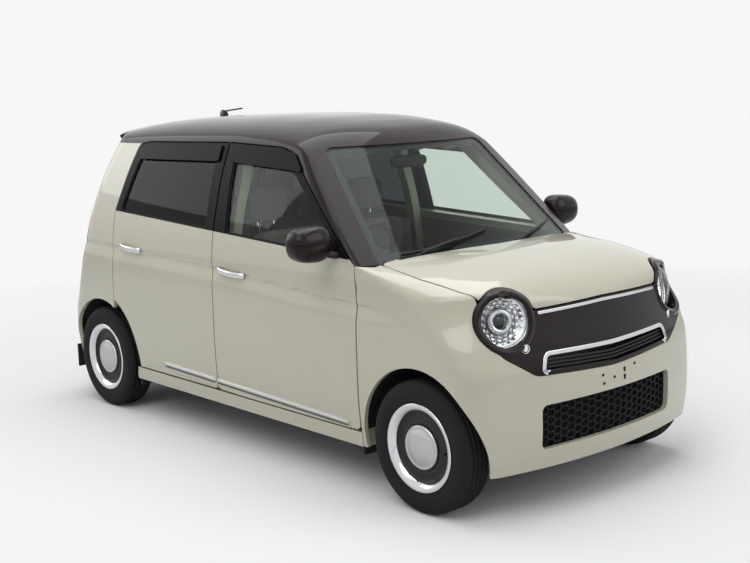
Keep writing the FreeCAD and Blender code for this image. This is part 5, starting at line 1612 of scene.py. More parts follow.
def fit_handle(place, name, sign):
    (x0, z0), (x1, z1) = HANDLES[place]
    body = f"door_{place}_{name}"
    share = np.linspace(0, 1, 13)
    at = on_side(x0 + (x1 - x0) * share, z0 + (z1 - z0) * share)
    stand = 0.004 + 0.027 * np.sin(math.pi * share) ** 0.55
    path = [Vector((a[0], (a[1] + s) * sign, a[2])) for a, s in zip(at, stand)]
    swept(f"door_handle_{place}_{name}", path, oval(0.017, 0.026, 16, 2.6), "chrome", body, per_leg=3)
    x, z = (x0 + x1) / 2 * 1000 + 8, (z0 + z1) / 2 * 1000 + 4
    grid = side_grid(sign, (x0 - 0.02, x1 + 0.02), (z1 - 0.05, z0 + 0.05), 0.006)
    patch(f"handle_cup_{place}_{name}", body, "cream paint", grid,
          [within([(x - 62, z - 26, 24), (x + 62, z - 30, 24), (x + 62, z + 26, 24), (x - 62, z + 30, 24)])],
          0.001, 0.0008, 0.0004)


def fit_side_details():
    for name, sign in SIDES:
        for place in DOORS:
            fit_handle(place, name, sign)
        turned(f"door_lock_{name}", [(0, 0.002), (0.007, 0.0018), (0.0085, 0)],
               on_side(*LOCK)[0] * flipped(sign),
               (0, sign, 0), "chrome", 0.001, f"door_front_{name}", 24)
        for place, (xs, visor) in VISORS.items():
            grid = side_grid(sign, xs, (1.33, 1.47), 0.012, 0.008)
            patch(f"window_visor_{place}_{name}", f"door_{place}_{name}", "smoked visor", grid,
                  [within(visor)],
                  0.0025, 0.001, 0.010)
        for place, (xs, sill, line) in SILLS.items():
            body, outline = f"door_{place}_{name}", DOORS[place][0]
            grid = side_grid(sign, xs, (0.25, 0.36), 0.014, 0.006)
            patch(f"sill_moulding_{place}_{name}", body, "cream paint", grid,
                  [within(sill), above(285), within(outline, grow=-0.003)], 0.008, 0.004, 0.005)
            grid = side_grid(sign, xs, (0.295, 0.352), 0.012, 0.003)
            patch(f"sill_bright_line_{place}_{name}", body, "chrome", grid, [within(line)], 0.004, 0.0012,
                  0.0085)
            # A dark grey strip under the bright line: painted shadow.
            grid = side_grid(sign, xs, (0.285, 0.345), 0.012, 0.003)
            lower = [(x, z - SHADOW_LINE_DROP, r) for x, z, r in line]
            patch(f"sill_dark_line_{place}_{name}", body, "grey trim", grid, [within(lower)], 0.004, 0.0008,
                  0.0062)
        right, left = side_span(sign, 0.60, 0.712)
        for tag, (x, low, high) in MUD_GUARDS.items():
            rounded_block(f"mud_guard_{tag}_{name}", (x, right, low), (x + 0.012, left, high), 0.0035,
                          "black plastic", 2)


SCREEN_OUT = (0.67, 0, 0.74)
BLADE = [(-0.003, -0.008), (0.003, -0.008), (0.006, 0.0), (0.003, 0.006), (-0.003, 0.006), (-0.006, 0.0)]
# Wiper blades: y and z of both ends.
WIPERS = ((-0.50, 0.02, 1.012, 1.075), (0.05, 0.52, 1.004, 1.060))


def antenna_form(x, y, z):
    return x - 0.25 * max(z, 0), y * (1 - 0.45 * max(z, 0)), max(z, -0.45)


def fit_roof_and_screen_details():
    crown = float(roof_crown(np.array([-1.04]))[0])
    pod("antenna_foot", (-1.035, 0, crown + 0.010), (0.034, 0.017, 0.030), "brown paint", "body", 2.3,
        antenna_form,
        32, 16, nodes=["antenna"])
    swept("antenna_mast", [(-1.045, 0, crown + 0.030), (-0.98, 0, crown + 0.036), (-0.86, 0, crown + 0.047)],
          oval(0.0085, 0.0085, 10), "black plastic", "body", ALONG, 6)
    for k, (y0, y1, z0, z1) in enumerate(WIPERS):
        share = np.linspace(0, 1, 15)
        ys = y0 + (y1 - y0) * share
        zs = z0 + (z1 - z0) * share ** 1.3
        xs = SCREEN_X - (zs - 1.0) * SCREEN_LEAN - SCREEN_BOW * ys ** 2
        line = [Vector(q) + Vector(SCREEN_OUT) * 0.0095 for q in zip(xs, ys, zs)]
        swept(f"wiper_blade_{k}", line, BLADE, "black plastic", "body", SCREEN_OUT, 2)
        hold = line[8]
        foot = y0 + 0.03
        pivot = Vector((1.052 - SCREEN_BOW * foot ** 2, foot, 0.992))
        arm = [pivot, pivot + Vector((0.0, 0.05, 0.022)), (pivot + hold) / 2 + Vector((0.016, 0, 0.018)),
               hold + Vector((0.01, 0, 0.010))]
        swept(f"wiper_arm_{k}", arm, oval(0.013, 0.008, 12), "black plastic", "body", SCREEN_OUT, 6)
    grid = (front_body, bonnet_rays, steps(-0.25, 0.35, 0.012), steps(-0.62, 0.62, 0.02))
    patch("screen_cowl", "body", "black plastic", grid,
          [without(bonnet_edge(BONNET_FLANGE - BONNET_GAP), PLAN), lambda p: 0.012 - screen_gap(p),
           lambda p: np.abs(p[:, 1]) - 0.606 + (1.02 - p[:, 0]) * 0.1], 0.006, 0.001, -0.006)


def cap_movement(before, after, limit):
    move = after - before
    size = np.linalg.norm(move, axis=1)
    return before + move * (np.minimum(size, limit) / np.maximum(size, 1e-9))[:, None]


def mesh_points(mesh):
    flat = np.empty(len(mesh.vertices) * 3)
    mesh.vertices.foreach_get("co", flat)
    return flat.reshape(-1, 3)


PAD_GRAIN = 0.010
PAD_LIMIT = 0.008
PAD_FRAMES = 20
PAD_CLOTH = {"quality": 3, "mass": 0.3, "use_pressure": True, "tension_stiffness": 25,
             "compression_stiffness": 25}


def plump(obj):
    """Blow a pad up like a filled cover: an even remesh, a short cloth run, and a cap on the movement."""
    remesh = obj.modifiers.new("even", "REMESH")
    remesh.mode = "VOXEL"
    remesh.voxel_size = PAD_GRAIN
    remesh.use_smooth_shade = True
    bake(obj)
    before = mesh_points(obj.data)
    cover = obj.modifiers.new("cover", "CLOTH")
    for key, value in PAD_CLOTH.items():
        setattr(cover.settings, key, value)
    cover.settings.uniform_pressure_force = chosen("car_sizes").seat_pressure
    cover.settings.effector_weights.gravity = 0.0
    cover.point_cache.frame_start = 1
    cover.point_cache.frame_end = PAD_FRAMES
    scene = bpy.context.scene
    for frame_number in range(1, PAD_FRAMES + 1):
        scene.frame_set(frame_number)
    bake(obj)
    scene.frame_set(1)
    after = cap_movement(before, mesh_points(obj.data), PAD_LIMIT)
    obj.data.vertices.foreach_set("co", after.ravel())
    obj.data.update()


def cushion(name, centre, size, tilt, bolster=0.3, seam=0.6, nodes=()):
    """A stuffed pad with raised sides and two sewn grooves, turned by tilt degrees about the cross axis."""
    def form(x, y, z):
        side = min(abs(y), 1)
        lift = bolster * max(0, (side - seam) / (1 - seam)) ** 1.6 if side > seam else 0
        groove = 0.16 * math.exp(-((side - seam) / 0.045) ** 2)
        groove += 0.10 * math.exp(-((x - 0.1) / 0.04) ** 2) * (side < seam)
        return (x, y, z + (lift - groove) * (z > 0.1))
    obj = pod(name, (0, 0, 0), [c / 2 for c in size], "seat cloth", None, 4.2, form, 72, 44)
    plump(obj)
    turn = Matrix.Rotation(math.radians(tilt), 4, "Y")
    half = size[1] / 2
    obj.data.materials.append(material("seat insert"))
    for polygon in obj.data.polygons:
        c = polygon.center
        polygon.material_index = 1 if abs(c.y) < seam * half * 0.98 and c.z > size[2] * 0.12 else 0
        polygon.use_smooth = True
    obj.data.transform(Matrix.Translation(centre) @ turn)
    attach(obj, "body")
    if nodes:
        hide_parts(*nodes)


def headrest_posts(name, foot, top, spread, width):
    """Two posts between two points, spread to both sides of them."""
    for k in (-1, 1):
        path = [(x, y + k * spread, z) for x, y, z in (foot, top)]
        swept(f"{name}_{k + 1}", path, oval(width, width, 12), "chrome", "body", ACROSS)


def fit_front_seats():
    for name, sign in SIDES:
        y = chosen("car_sizes").seat_spacing / 2 * sign
        nodes = ["front_seats"] if sign > 0 else []
        cushion(f"front_seat_cushion_{name}", (0.105, y, 0.478), (0.495, 0.450, 0.120), -4, nodes=nodes)
        cushion(f"front_seat_back_{name}", (-0.166, y, 0.748), (0.600, 0.440, 0.105), 104, 0.45)
        cushion(f"front_headrest_{name}", (-0.243, y, 1.158), (0.165, 0.250, 0.085), 98, 0.05, 0.9)
        headrest_posts("front_headrest_post_" + name, (-0.238, y, 1.00), (-0.243, y, 1.10), 0.05, 0.012)
        for k in (-1, 1):
            at = y + k * 0.19
            rounded_block(f"front_seat_rail_{name}_{k + 1}", (-0.10, at - 0.016, 0.268),
                          (0.30, at + 0.016, 0.300),
                          0.004, "under steel", 2)
            rounded_block(f"front_seat_leg_{name}_{k + 1}", (-0.08, at - 0.012, 0.295),
                          (0.27, at + 0.012, 0.425),
                          0.010, "grey trim", 2)
        rounded_block(f"front_seat_side_cover_{name}", (-0.16, y + sign * 0.222, 0.400),
                      (0.20, y + sign * 0.240, 0.475), 0.008, "black plastic")


def fit_rear_seat():
    for name, sign in SIDES:
        y = 0.268 * sign
        head = y * 1.1
        nodes = ["rear_seat"] if sign > 0 else []
        cushion(f"rear_seat_cushion_{name}", (-0.560, y, 0.522), (0.470, 0.520, 0.105), -3, 0.12, 0.7, nodes)
        cushion(f"rear_seat_back_{name}", (-0.806, y, 0.750), (0.550, 0.520, 0.100), 104, 0.15, 0.7)
        cushion(f"rear_headrest_{name}", (-0.893, head, 1.088), (0.125, 0.235, 0.075), 98, 0.05, 0.9)
        headrest_posts("rear_headrest_post_" + name, (-0.882, head, 0.98), (-0.888, head, 1.045), 0.045,
                       0.010)
        right, left = side_span(sign, 0.03, 0.50)
        rounded_block(f"rear_seat_plinth_{name}", (-0.760, right, 0.470), (-0.350, left, 0.485), 0.006,
                      "black plastic", 2)
        right, left = side_span(sign, 0.13, 0.50)
        for k, x in enumerate((-0.743, -0.423)):
            rounded_block(f"rear_seat_stand_{name}_{k}", (x - 0.017, right, 0.270), (x + 0.017, left, 0.478),
                          0.006,
                          "grey trim", 2)


DASH_PROFILE = [(957, 645, 10), (957, 926, 10), (905, 935, 0), (860, 957, 30), (716, 953, 42), (650, 900, 34),
                (690, 790, 40), (705, 645, 20)]
# Blocks of the dashboard and the floor: low corner, high corner, edge radius, finish and segments of an edge.
DASH_BLOCKS = {
    "meter_panel": ((0.640, -0.455, 0.868), (0.668, -0.205, 0.972), 0.012, "seal rubber", 3),
    "centre_screen": ((0.632, -0.105, 0.812), (0.672, 0.105, 0.932), 0.008, "black plastic", 3),
    "centre_screen_glass": ((0.6305, -0.092, 0.824), (0.634, 0.092, 0.920), 0.001, "dash gloss", 1),
    "dashboard_band": ((0.652, 0.125, 0.850), (0.700, 0.540, 0.893), 0.010, "panel gloss", 3),
    "climate_panel": ((0.668, -0.085, 0.715), (0.700, 0.085, 0.785), 0.008, "panel gloss", 3),
    "glovebox_lid": ((0.682, 0.150, 0.680), (0.700, 0.520, 0.820), 0.014, "dash grain", 3),
    "glovebox_latch": ((0.676, 0.305, 0.795), (0.686, 0.365, 0.808), 0.003, "chrome", 2),
    "centre_console": ((0.560, -0.090, 0.360), (0.720, 0.090, 0.660), 0.030, "dash grain", 4),
    "floor_carpet_left": ((-0.760, 0.112, 0.2655), (0.945, 0.556, 0.272), 0.003, "carpet", 2),
    "floor_carpet_right": ((-0.760, -0.556, 0.2655), (0.945, -0.112, 0.272), 0.003, "carpet", 2),
    "tunnel_carpet": ((-0.700, -0.1135, 0.3585), (0.560, 0.1135, 0.3640), 0.002, "carpet", 2),
    "load_floor_carpet": ((-1.600, -0.455, 0.4765), (-0.900, 0.455, 0.4860), 0.003, "carpet", 2),
}
# Meters: y and radius; pedals: y, foot, half their width and height.
METERS = ((-0.395, 0.030), (-0.330, 0.042), (-0.265, 0.030))
METER_X, METER_Z = 0.6385, 0.920
VENT_X, VENT_Z = 0.655, 0.880
VENT_R = 0.031
VENT_PITCH = 0.012
PEDALS = ((-0.405, 0.355, 0.038, 0.055), (-0.285, 0.345, 0.026, 0.120))


def fit_dash_shell():
    """The dashboard's section carried across the car, with a hood over the meters."""
    ring = rounded(DASH_PROFILE, 0.2)
    ys = [-0.556, -0.553, -0.545] + list(np.linspace(-0.52, 0.52, 27)) + [0.545, 0.553, 0.556]
    middle = ring.mean(axis=0)
    points = []
    for y in ys:
        shrink = 1 - 0.03 * max(0, (abs(y) - 0.535) / 0.021) ** 2
        hood = 0.028 * math.exp(-((y + 0.33) / 0.16) ** 4)
        for x, z in ring:
            lift = hood if z > 0.90 else 0
            points.append((middle[0] + (x - middle[0]) * shrink, y,
                           middle[1] + (z - middle[1]) * shrink + lift))
    shell = make_object("dashboard_shell", points, tube_faces(len(ring), len(ys)), None, "dash grain")
    settle(shell, "body", ["dashboard"])


def fit_vent(k, y):
    at, axis = (VENT_X, y, VENT_Z), (-1, 0, 0.2)
    turned(f"air_vent_ring_{k}", [(0.040, 0.0), (0.040, 0.010), (0.034, 0.012), (0.032, 0.002)], at, axis,
           "chrome",
           0.0015, sides=40)
    turned(f"air_vent_back_{k}", [(0, 0.001), (0.034, 0.001)], at, axis, "seal rubber", 0.001, sides=40)
    for row in range(5):
        rise = (row - 2) * VENT_PITCH
        half = math.sqrt(max(VENT_R ** 2 - rise ** 2, 0))
        z = VENT_Z + rise
        rounded_block(f"air_vent_blade_{k}_{row}", (0.644, y - half, z - 0.0012),
                      (0.654, y + half, z + 0.0012),
                      0.0006, "black plastic", 1)


def fit_dashboard():
    fit_dash_shell()
    for name, block in DASH_BLOCKS.items():
        rounded_block(name, *block)
    for k, (y, radius) in enumerate(METERS):
        at, axis = (METER_X, y, METER_Z), (-1, 0, 0.1)
        ring = [(radius, 0.0), (radius, 0.006), (radius - 0.003, 0.007), (radius - 0.004, 0.0)]
        turned(f"meter_ring_{k}", ring, at, axis, "chrome", 0.001, sides=40)
        turned(f"meter_face_{k}", [(0, 0.001), (radius - 0.004, 0.001)], at, axis, "dash gloss", 0.001,
               sides=40)
    for k, y in enumerate((-0.505, -0.150, 0.150, 0.505)):
        fit_vent(k, y)
    for k, y in enumerate((-0.055, 0.0, 0.055)):
        turned(f"climate_knob_{k}", [(0, 0.020), (0.014, 0.020), (0.0165, 0.017), (0.0175, 0.0)],
               (0.669, y, 0.750),
               (-1, 0, 0.1), "chrome", 0.001, sides=32)
    swept("shift_lever", [(0.640, -0.070, 0.690), (0.600, -0.074, 0.728), (0.560, -0.078, 0.752)],
          oval(0.014, 0.014, 12), "chrome", "body", ALONG, 6)
    pod("shift_knob", (0.550, -0.079, 0.758), (0.026, 0.018, 0.024), "black plastic", "body", columns=24,
        rows=14)
    for k, (y, low, half, tall) in enumerate(PEDALS):
        rounded_block(f"pedal_pad_{k}", (0.792, y - half, low), (0.802, y + half, low + tall), 0.004,
                      "seal rubber", 2)
        swept(f"pedal_arm_{k}", [(0.806, y, low + 0.04), (0.840, y, 0.50), (0.850, y, 0.66)],
              oval(0.012, 0.020, 12),
              "under steel", "body", ALONG, 6)
    for name, sign in SIDES:
        pod(f"sun_visor_{name}", (0.395, 0.315 * sign, 1.440), (0.075, 0.180, 0.012), "headliner", "body", 4,
            lambda x, y, z: (x, y, z - 0.9 * x), 40, 14)


WHEEL_CENTRE = Vector((0.505, -0.330, 0.950))
COLUMN = Vector((-0.891007, 0, 0.45399))
RIM_SIZE = (0.178, 0.0155, 0.0170)
# A spoke's path: distance from the hub and along the column.
SPOKE = ((0.030, -0.012), (0.075, -0.012), (0.120, -0.006), (0.168, 0.0))


def fit_steering_wheel():
    centre, axis = WHEEL_CENTRE, COLUMN
    across, wide, tall = RIM_SIZE
    circle = [(across + wide * math.cos(a), tall * math.sin(a)) for a in np.linspace(0, 2 * math.pi, 17)]
    turned("steering_rim", circle, centre, axis, "black plastic", 0, "steering_wheel",
           nodes=["steering_wheel"])
    side = Vector((0, 1, 0))
    rise = axis.cross(side)
    if rise.z < 0:
        rise = -rise
    for k, (angle, width) in enumerate(((0, 0.036), (180, 0.036), (270, 0.044))):
        a = math.radians(angle)
        out = side * math.cos(a) + rise * math.sin(a)
        path = [centre + out * r + axis * d for r, d in SPOKE]
        swept(f"steering_spoke_{k}", path, oval(width, 0.014, 16, 3), "grey trim", "steering_wheel", axis, 5)
    turn = Vector((0, 0, 1)).rotation_difference(axis).to_matrix()

    def dome(x, y, z):
        return turn @ Vector((x, y, z * 0.36))
    pod("steering_pad", centre + axis * 0.002, (0.064, 0.064, 0.064), "dash grain", "steering_wheel", 2.8,
        dome,
        40, 20)
    cover = [(0.0, 0.0), (0.038, 0.0), (0.046, -0.010), (0.050, -0.120), (0.050, -0.190)]
    turned("steering_column_cover", cover, centre - axis * 0.036, axis, "black plastic", 0.002, sides=40)
    for name, sign in SIDES:
        root = centre - axis * 0.085 + Vector((0, sign * 0.045, 0))
        path = [root, root + Vector((-0.01, sign * 0.06, 0.01)), root + Vector((-0.02, sign * 0.115, 0.014))]
        swept(f"column_stalk_{name}", path, oval(0.014, 0.010, 12), "black plastic", "body", ACROSS, 6)


# For each door, the reach of its card and of its arm rest along the car.
CARDS = {"front": ((-0.13, 0.88), (0.12, 0.62)), "rear": ((-1.08, -0.17), (-0.80, -0.40))}
PULL = ((0.0, 0), (0.025, 0.012), (0.07, 0.012), (0.095, 0))
SPEAKER = (0.62, 0.42)


def fit_door_card(place, name, sign):
    body = f"door_{place}_{name}"
    xs, (x0, x1) = CARDS[place]
    patch(f"door_card_{place}_{name}", body, "inner paint", side_grid(sign, xs, (0.30, 1.06), 0.03),
          [within(DOORS[place][0], grow=-0.030), lambda p: over_belt(p) + 0.030,
           off_arch(REAR_AXLE, CARD_ARCH)],
          0.010, 0.003, -0.0675, inner_finish="grey trim")
    at = on_side([x0, (x0 + x1) / 2, x1], 0.700)
    path = [Vector((a[0], (a[1] - 0.100) * sign, 0.690)) for a in at]
    swept(f"arm_rest_{place}_{name}", path, oval(0.056, 0.046, 18, 3), "dash grain", body, per_leg=8)
    pull = [Vector((x1 + 0.02 + d, (at[2][1] - 0.078 - e) * sign, 0.800)) for d, e in PULL]
    swept(f"inner_door_pull_{place}_{name}", pull, oval(0.008, 0.020, 12), "chrome", body, per_leg=5)


def fit_door_cards():
    for name, sign in SIDES:
        for place in DOORS:
            fit_door_card(place, name, sign)
        x, z = SPEAKER
        at = (x, (on_side(x, z)[0][1] - 0.0775) * sign, z)
        turned(f"door_speaker_{name}", [(0, 0.010), (0.060, 0.009), (0.072, 0.006), (0.078, 0.0)], at,
               (0, -sign, 0),
               "black plastic", 0.002, f"door_front_{name}", 40)


BELT = [(-0.023, -0.0007), (0.023, -0.0007), (0.023, 0.0007), (-0.023, 0.0007)]
GRAB_HANDLE = ((0.05, 0.545, 1.415), (0.02, 0.520, 1.395), (-0.06, 0.520, 1.395), (-0.09, 0.545, 1.418))


def fit_cabin_details():
    pod("rear_view_mirror", (0.478, 0.0, 1.372), (0.014, 0.118, 0.030), "black plastic", "body", 3.2, None,
        40, 16)
    pod("rear_view_pane", (0.4655, 0.0, 1.372), (0.003, 0.110, 0.025), "mirror glass", "body", 3.4, None, 32,
        12)
    swept("rear_view_stem", [(0.484, 0, 1.392), (0.500, 0, 1.420), (0.520, 0, 1.442)], oval(0.020, 0.014, 12),
          "black plastic", "body", ALONG, 5)
    for name, sign in SIDES:
        for place, x, foot in (("front", -0.145, -0.050), ("rear", -0.930, -0.830)):
            line = [(x, 0.592 * sign, 1.225), (x + 0.01, 0.588 * sign, 1.00), (foot, 0.560 * sign, 0.62),
                    (foot + 0.02, 0.552 * sign, 0.47)]
            swept(f"seat_belt_{place}_{name}", line, BELT, "seal rubber", "body", ALONG, 8)
            pod(f"belt_anchor_{place}_{name}", (x, 0.596 * sign, 1.235), (0.020, 0.010, 0.026), "grey trim",
                "body", 3,
                None, 24, 12)
        swept(f"grab_handle_{name}", [(x, y * sign, z) for x, y, z in GRAB_HANDLE], oval(0.014, 0.018, 12),
              "headliner", "body", per_leg=6)


# Blocks beside the engine, as those of the dashboard.
BAY_BLOCKS = {
    "battery_case": ((1.120, 0.345, 0.640), (1.290, 0.480, 0.800), 0.008, "black plastic", 2),
    "battery_lid": ((1.116, 0.341, 0.800), (1.294, 0.484, 0.822), 0.006, "grey trim", 2),
    "battery_tray": ((1.105, 0.330, 0.622), (1.305, 0.495, 0.641), 0.006, "under steel", 2),
    "radiator_core": ((1.480, -0.325, 0.325), (1.4985, 0.325, 0.635), 0.004, "brake iron", 2),
    "radiator_top_tank": ((1.474, -0.330, 0.636), (1.4995, 0.330, 0.672), 0.008, "black plastic", 3),
    "washer_bottle": ((1.330, -0.470, 0.560), (1.440, -0.400, 0.720), 0.018, "lamp glass", 3),
}


def fit_engine_bay():
    low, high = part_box("engine_block")
    rounded_block("engine_cover", (low.x + 0.03, low.y + 0.05, high.z + 0.001),
                  (high.x - 0.06, low.y + 0.38, high.z + 0.045), 0.016, "black plastic", 4)
    for k in range(4):
        y = low.y + 0.085 + k * 0.075
        rounded_block(f"engine_cover_rib_{k}", (low.x + 0.05, y, high.z + 0.043),
                      (high.x - 0.09, y + 0.015, high.z + 0.050), 0.002, "black plastic", 1)
    turned("oil_cap", [(0, 0.018), (0.018, 0.018), (0.021, 0.014), (0.022, 0.0)],
           (high.x - 0.035, low.y + 0.42, high.z), UPRIGHT, "black plastic", 0.002, sides=32)
    for name, block in BAY_BLOCKS.items():
        rounded_block(name, *block)
    for k, x in enumerate((1.150, 1.260)):
        turned(f"battery_post_{k}", [(0, 0.016), (0.008, 0.016), (0.009, 0.0)], (x, 0.375, 0.822), UPRIGHT,
               "brake iron", 0.001, sides=24)
    swept("radiator_hose", [(1.478, -0.24, 0.655), (1.445, -0.25, 0.672), (1.41, -0.22, 0.700),
                            (high.x - 0.02, -0.18, high.z - 0.04)],
          oval(0.034, 0.034, 16), "seal rubber", "body", ALONG, 8)
    turned("washer_cap", [(0, 0.015), (0.020, 0.015), (0.022, 0.0)], (1.385, -0.435, 0.720), UPRIGHT,
           "black plastic", 0.002, sides=32)


NODE_FINISH = {
    "side_frame_left": "cream paint", "side_frame_right": "cream paint", "front_frame": "under steel",
    "firewall": "under coat", "cowl_panel": "black plastic", "floor_pan": "under coat",
    "arch_liners": "black plastic",
    "engine_block": "cast block", "front_suspension": "under steel", "strut_left": "under steel",
    "strut_right": "under steel", "rear_axle": "under steel", "fuel_tank": "black plastic",
    "exhaust": "exhaust steel",
    "knuckle_left": "brake iron", "knuckle_right": "brake iron",
}


def finish_frame():
    """Give the CAD pieces that stay in view their materials."""
    for name, finish in NODE_FINISH.items():
        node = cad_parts[name]
        node.data.materials.clear()
        node.data.materials.append(material(finish))


FLOOR_REACH = 60
SKY = (0.93, 0.95, 1.0)
# Soft lamps: place, target, size and power.
LAMPS = {
    "key": ((2.5, -5.5, 6.5), (0, 0, 0.6), 5.0, 185), "fill": ((6.5, 2.5, 4.5), (0.5, 0, 0.6), 5.0, 150),
    "top": ((-0.5, 0.3, 7.0), (0, 0, 0.8), 6.0, 290), "back": ((-6.0, -3.0, 4.0), (0, 0, 0.8), 4.0, 90),
}
CAMERA_PLACE = (4.6655, -3.9483, 1.7371)
CAMERA_YAW, CAMERA_PITCH, CAMERA_ROLL = (math.radians(angle) for angle in (138.446, -9.319, -1.695))
SENSOR_WIDTH = 36.0


def hang_lamps():
    for name, (place, target, size, power) in LAMPS.items():
        lamp = bpy.data.lights.new(name, "AREA")
        lamp.energy = power * chosen("car_studio").lamp_level
        lamp.size = size
        obj = bpy.data.objects.new(name, lamp)
        obj.location = place
        obj.rotation_euler = (Vector(target) - Vector(place)).to_track_quat("-Z", "Y").to_euler()
        bpy.context.scene.collection.objects.link(obj)


def place_camera():
    """The camera of the photograph."""
    view = bpy.data.cameras.new("view")
    view.sensor_width = SENSOR_WIDTH
    view.lens = chosen("car_studio").lens
    camera = bpy.data.objects.new("view", view)
    level = math.cos(CAMERA_PITCH)
    forward = Vector((level * math.cos(CAMERA_YAW), level * math.sin(CAMERA_YAW), math.sin(CAMERA_PITCH)))
    right = forward.cross(Vector((0, 0, 1))).normalized()
    up = right.cross(forward)
    c, s = math.cos(CAMERA_ROLL), math.sin(CAMERA_ROLL)
    basis = Matrix((c * right + s * up, c * up - s * right, -forward)).transposed().to_4x4()
    camera.matrix_world = Matrix.Translation(CAMERA_PLACE) @ basis
    bpy.context.scene.collection.objects.link(camera)
    bpy.context.scene.camera = camera


def build_stage():
    scene = bpy.context.scene
    scene.view_settings.view_transform = "Standard"
    corners = [(x * FLOOR_REACH, y * FLOOR_REACH, 0) for x, y in ((-1, -1), (1, -1), (1, 1), (-1, 1))]
    make_object("studio_floor", corners, [[0, 1, 2, 3]], None, "floor")
    world = bpy.data.worlds.new("studio")
    scene.world = world
    world.use_nodes = True
    tree = Tree(world.node_tree)
    level = chosen("car_studio").sky_level
    sky = tree.node("ShaderNodeBackground", None, {"Color": (*SKY, 1), "Strength": level})
    backdrop = tree.node("ShaderNodeBackground", None, {"Color": (*BACKDROP, 1), "Strength": 1.0})
    ray = tree.node("ShaderNodeLightPath", output="Is Camera Ray")
    seen = ray.larger(ray.beside("Is Glossy Ray")).larger(ray.beside("Is Transmission Ray"))
    mixed = tree.node("ShaderNodeMixShader", None, {0: seen, 1: sky, 2: backdrop})
    tree.node("ShaderNodeOutputWorld", None, {"Surface": mixed})
    hang_lamps()
    place_camera()


def number(name, description, default, low, high, **rest):
    return bpy.props.FloatProperty(name=name, description=description, default=default, min=low, max=high,
                                   **rest)


def length(name, description, default, low, high):
    return number(name, description, default, low, high, unit="LENGTH")


def color(name, description, default):
    return bpy.props.FloatVectorProperty(name=name, description=description, default=default, min=0, max=1,
                                         size=3,
                                         subtype="COLOR")


class CarSizes(bpy.types.PropertyGroup):
    """Sizes that a user may change before building."""
    door_gap: length("Door gap", "Half of the gap round each side door", 0.0012, 0.0005, 0.003)
    mesh_pitch: length("Intake mesh", "Height of one row of cells in the lower intake", 0.0318, 0.02, 0.05)
    seat_spacing: length("Seat spacing", "Distance between the middles of the front seats", 0.660, 0.62, 0.70)
    seat_pressure: number("Seat filling", "Pressure that plumps the seat pads", 4.0, 0, 8)
    tread_blocks: bpy.props.IntProperty(name="Shoulder blocks",
                                        description="Blocks round each shoulder of a tyre",
                                        default=84, min=24, max=120)


class CarColors(bpy.types.PropertyGroup):
    """Colours that a user may change before building."""
    body: color("Body", "Solid paint below the window line", (0.462, 0.447, 0.352))
    roof: color("Roof", "Dark paint of the roof, the screen pillars and the tail visor",
                (0.015, 0.0095, 0.009))
    seat: color("Seat", "Cloth of the seat sides", (0.085, 0.078, 0.072))
    dark_glass: color("Rear glass", "Tint of the rear side panes and the tailgate pane", (0.20, 0.21, 0.225))


class CarStudio(bpy.types.PropertyGroup):
    """Light and lens of the studio."""
    lamp_level: number("Lamp level", "Strength of the soft lamps", 1.0, 0, 3)
    sky_level: number("Sky level", "Strength of the light from all round", 0.42, 0, 2)
    lens: number("Lens", "Focal length of the camera in millimetres", 57.66, 20, 200)


class CAR_OT_bonnet(bpy.types.Operator):
    """Skin the bonnet lid between the wings and the screen"""
    bl_idname = "car.bonnet"
    bl_label = "Bonnet"

    def execute(self, context):
        paint_bonnet()
        return {"FINISHED"}


class CAR_OT_wings(bpy.types.Operator):
    """Skin both front wings with their arches"""
    bl_idname = "car.wings"
    bl_label = "Front wings"

    def execute(self, context):
        for name, sign in SIDES:
            paint_wing(name, sign)
        return {"FINISHED"}


class CAR_OT_doors(bpy.types.Operator):
    """Skin the four side doors with their dark sashes"""
    bl_idname = "car.doors"
    bl_label = "Side doors"

    def execute(self, context):
        for name, sign in SIDES:
            paint_doors(name, sign)
        return {"FINISHED"}


class CAR_OT_quarters(bpy.types.Operator):
    """Skin both rear quarters with their arches"""
    bl_idname = "car.quarters"
    bl_label = "Rear quarters"

    def execute(self, context):
        for name, sign in SIDES:
            paint_quarter(name, sign)
        return {"FINISHED"}


class CAR_OT_bumpers(bpy.types.Operator):
    """Skin the front and rear bumpers"""
    bl_idname = "car.bumpers"
    bl_label = "Bumpers"

    def execute(self, context):
        paint_bumpers()
        return {"FINISHED"}


class CAR_OT_tailgate(bpy.types.Operator):
    """Skin the tailgate and its fittings"""
    bl_idname = "car.tailgate"
    bl_label = "Tailgate"

    def execute(self, context):
        paint_tailgate()
        fit_tail_details()
        return {"FINISHED"}


class CAR_OT_roof(bpy.types.Operator):
    """Skin the roof, the screen pillars and the tail visor"""
    bl_idname = "car.roof"
    bl_label = "Roof"

    def execute(self, context):
        paint_roof()
        return {"FINISHED"}


class CAR_OT_glass(bpy.types.Operator):
    """Fit the screen, the side panes and the tailgate pane with their seals"""
    bl_idname = "car.glass"
    bl_label = "Glass"

    def execute(self, context):
        fit_glass()
        return {"FINISHED"}


class CAR_OT_nose(bpy.types.Operator):
    """Fit the nose panel, the grille slot, its bright loop and the round headlamps"""
    bl_idname = "car.nose"
    bl_label = "Nose panel and headlamps"

    def execute(self, context):
        fit_nose_panel()
        fit_headlamps()
        return {"FINISHED"}


class CAR_OT_tail_lamps(bpy.types.Operator):
    """Fit the tail lamps at the rear corners"""
    bl_idname = "car.tail_lamps"
    bl_label = "Tail lamps"

    def execute(self, context):
        fit_tail_lamps()
        return {"FINISHED"}


class CAR_OT_intake(bpy.types.Operator):
    """Fit the six-sided mesh of the lower intake on its sheet of painted shade, and the painted shade in the
    plate holder's holes
    """
    bl_idname = "car.intake"
    bl_label = "Lower intake"

    def execute(self, context):
        fit_lower_grille()
        return {"FINISHED"}


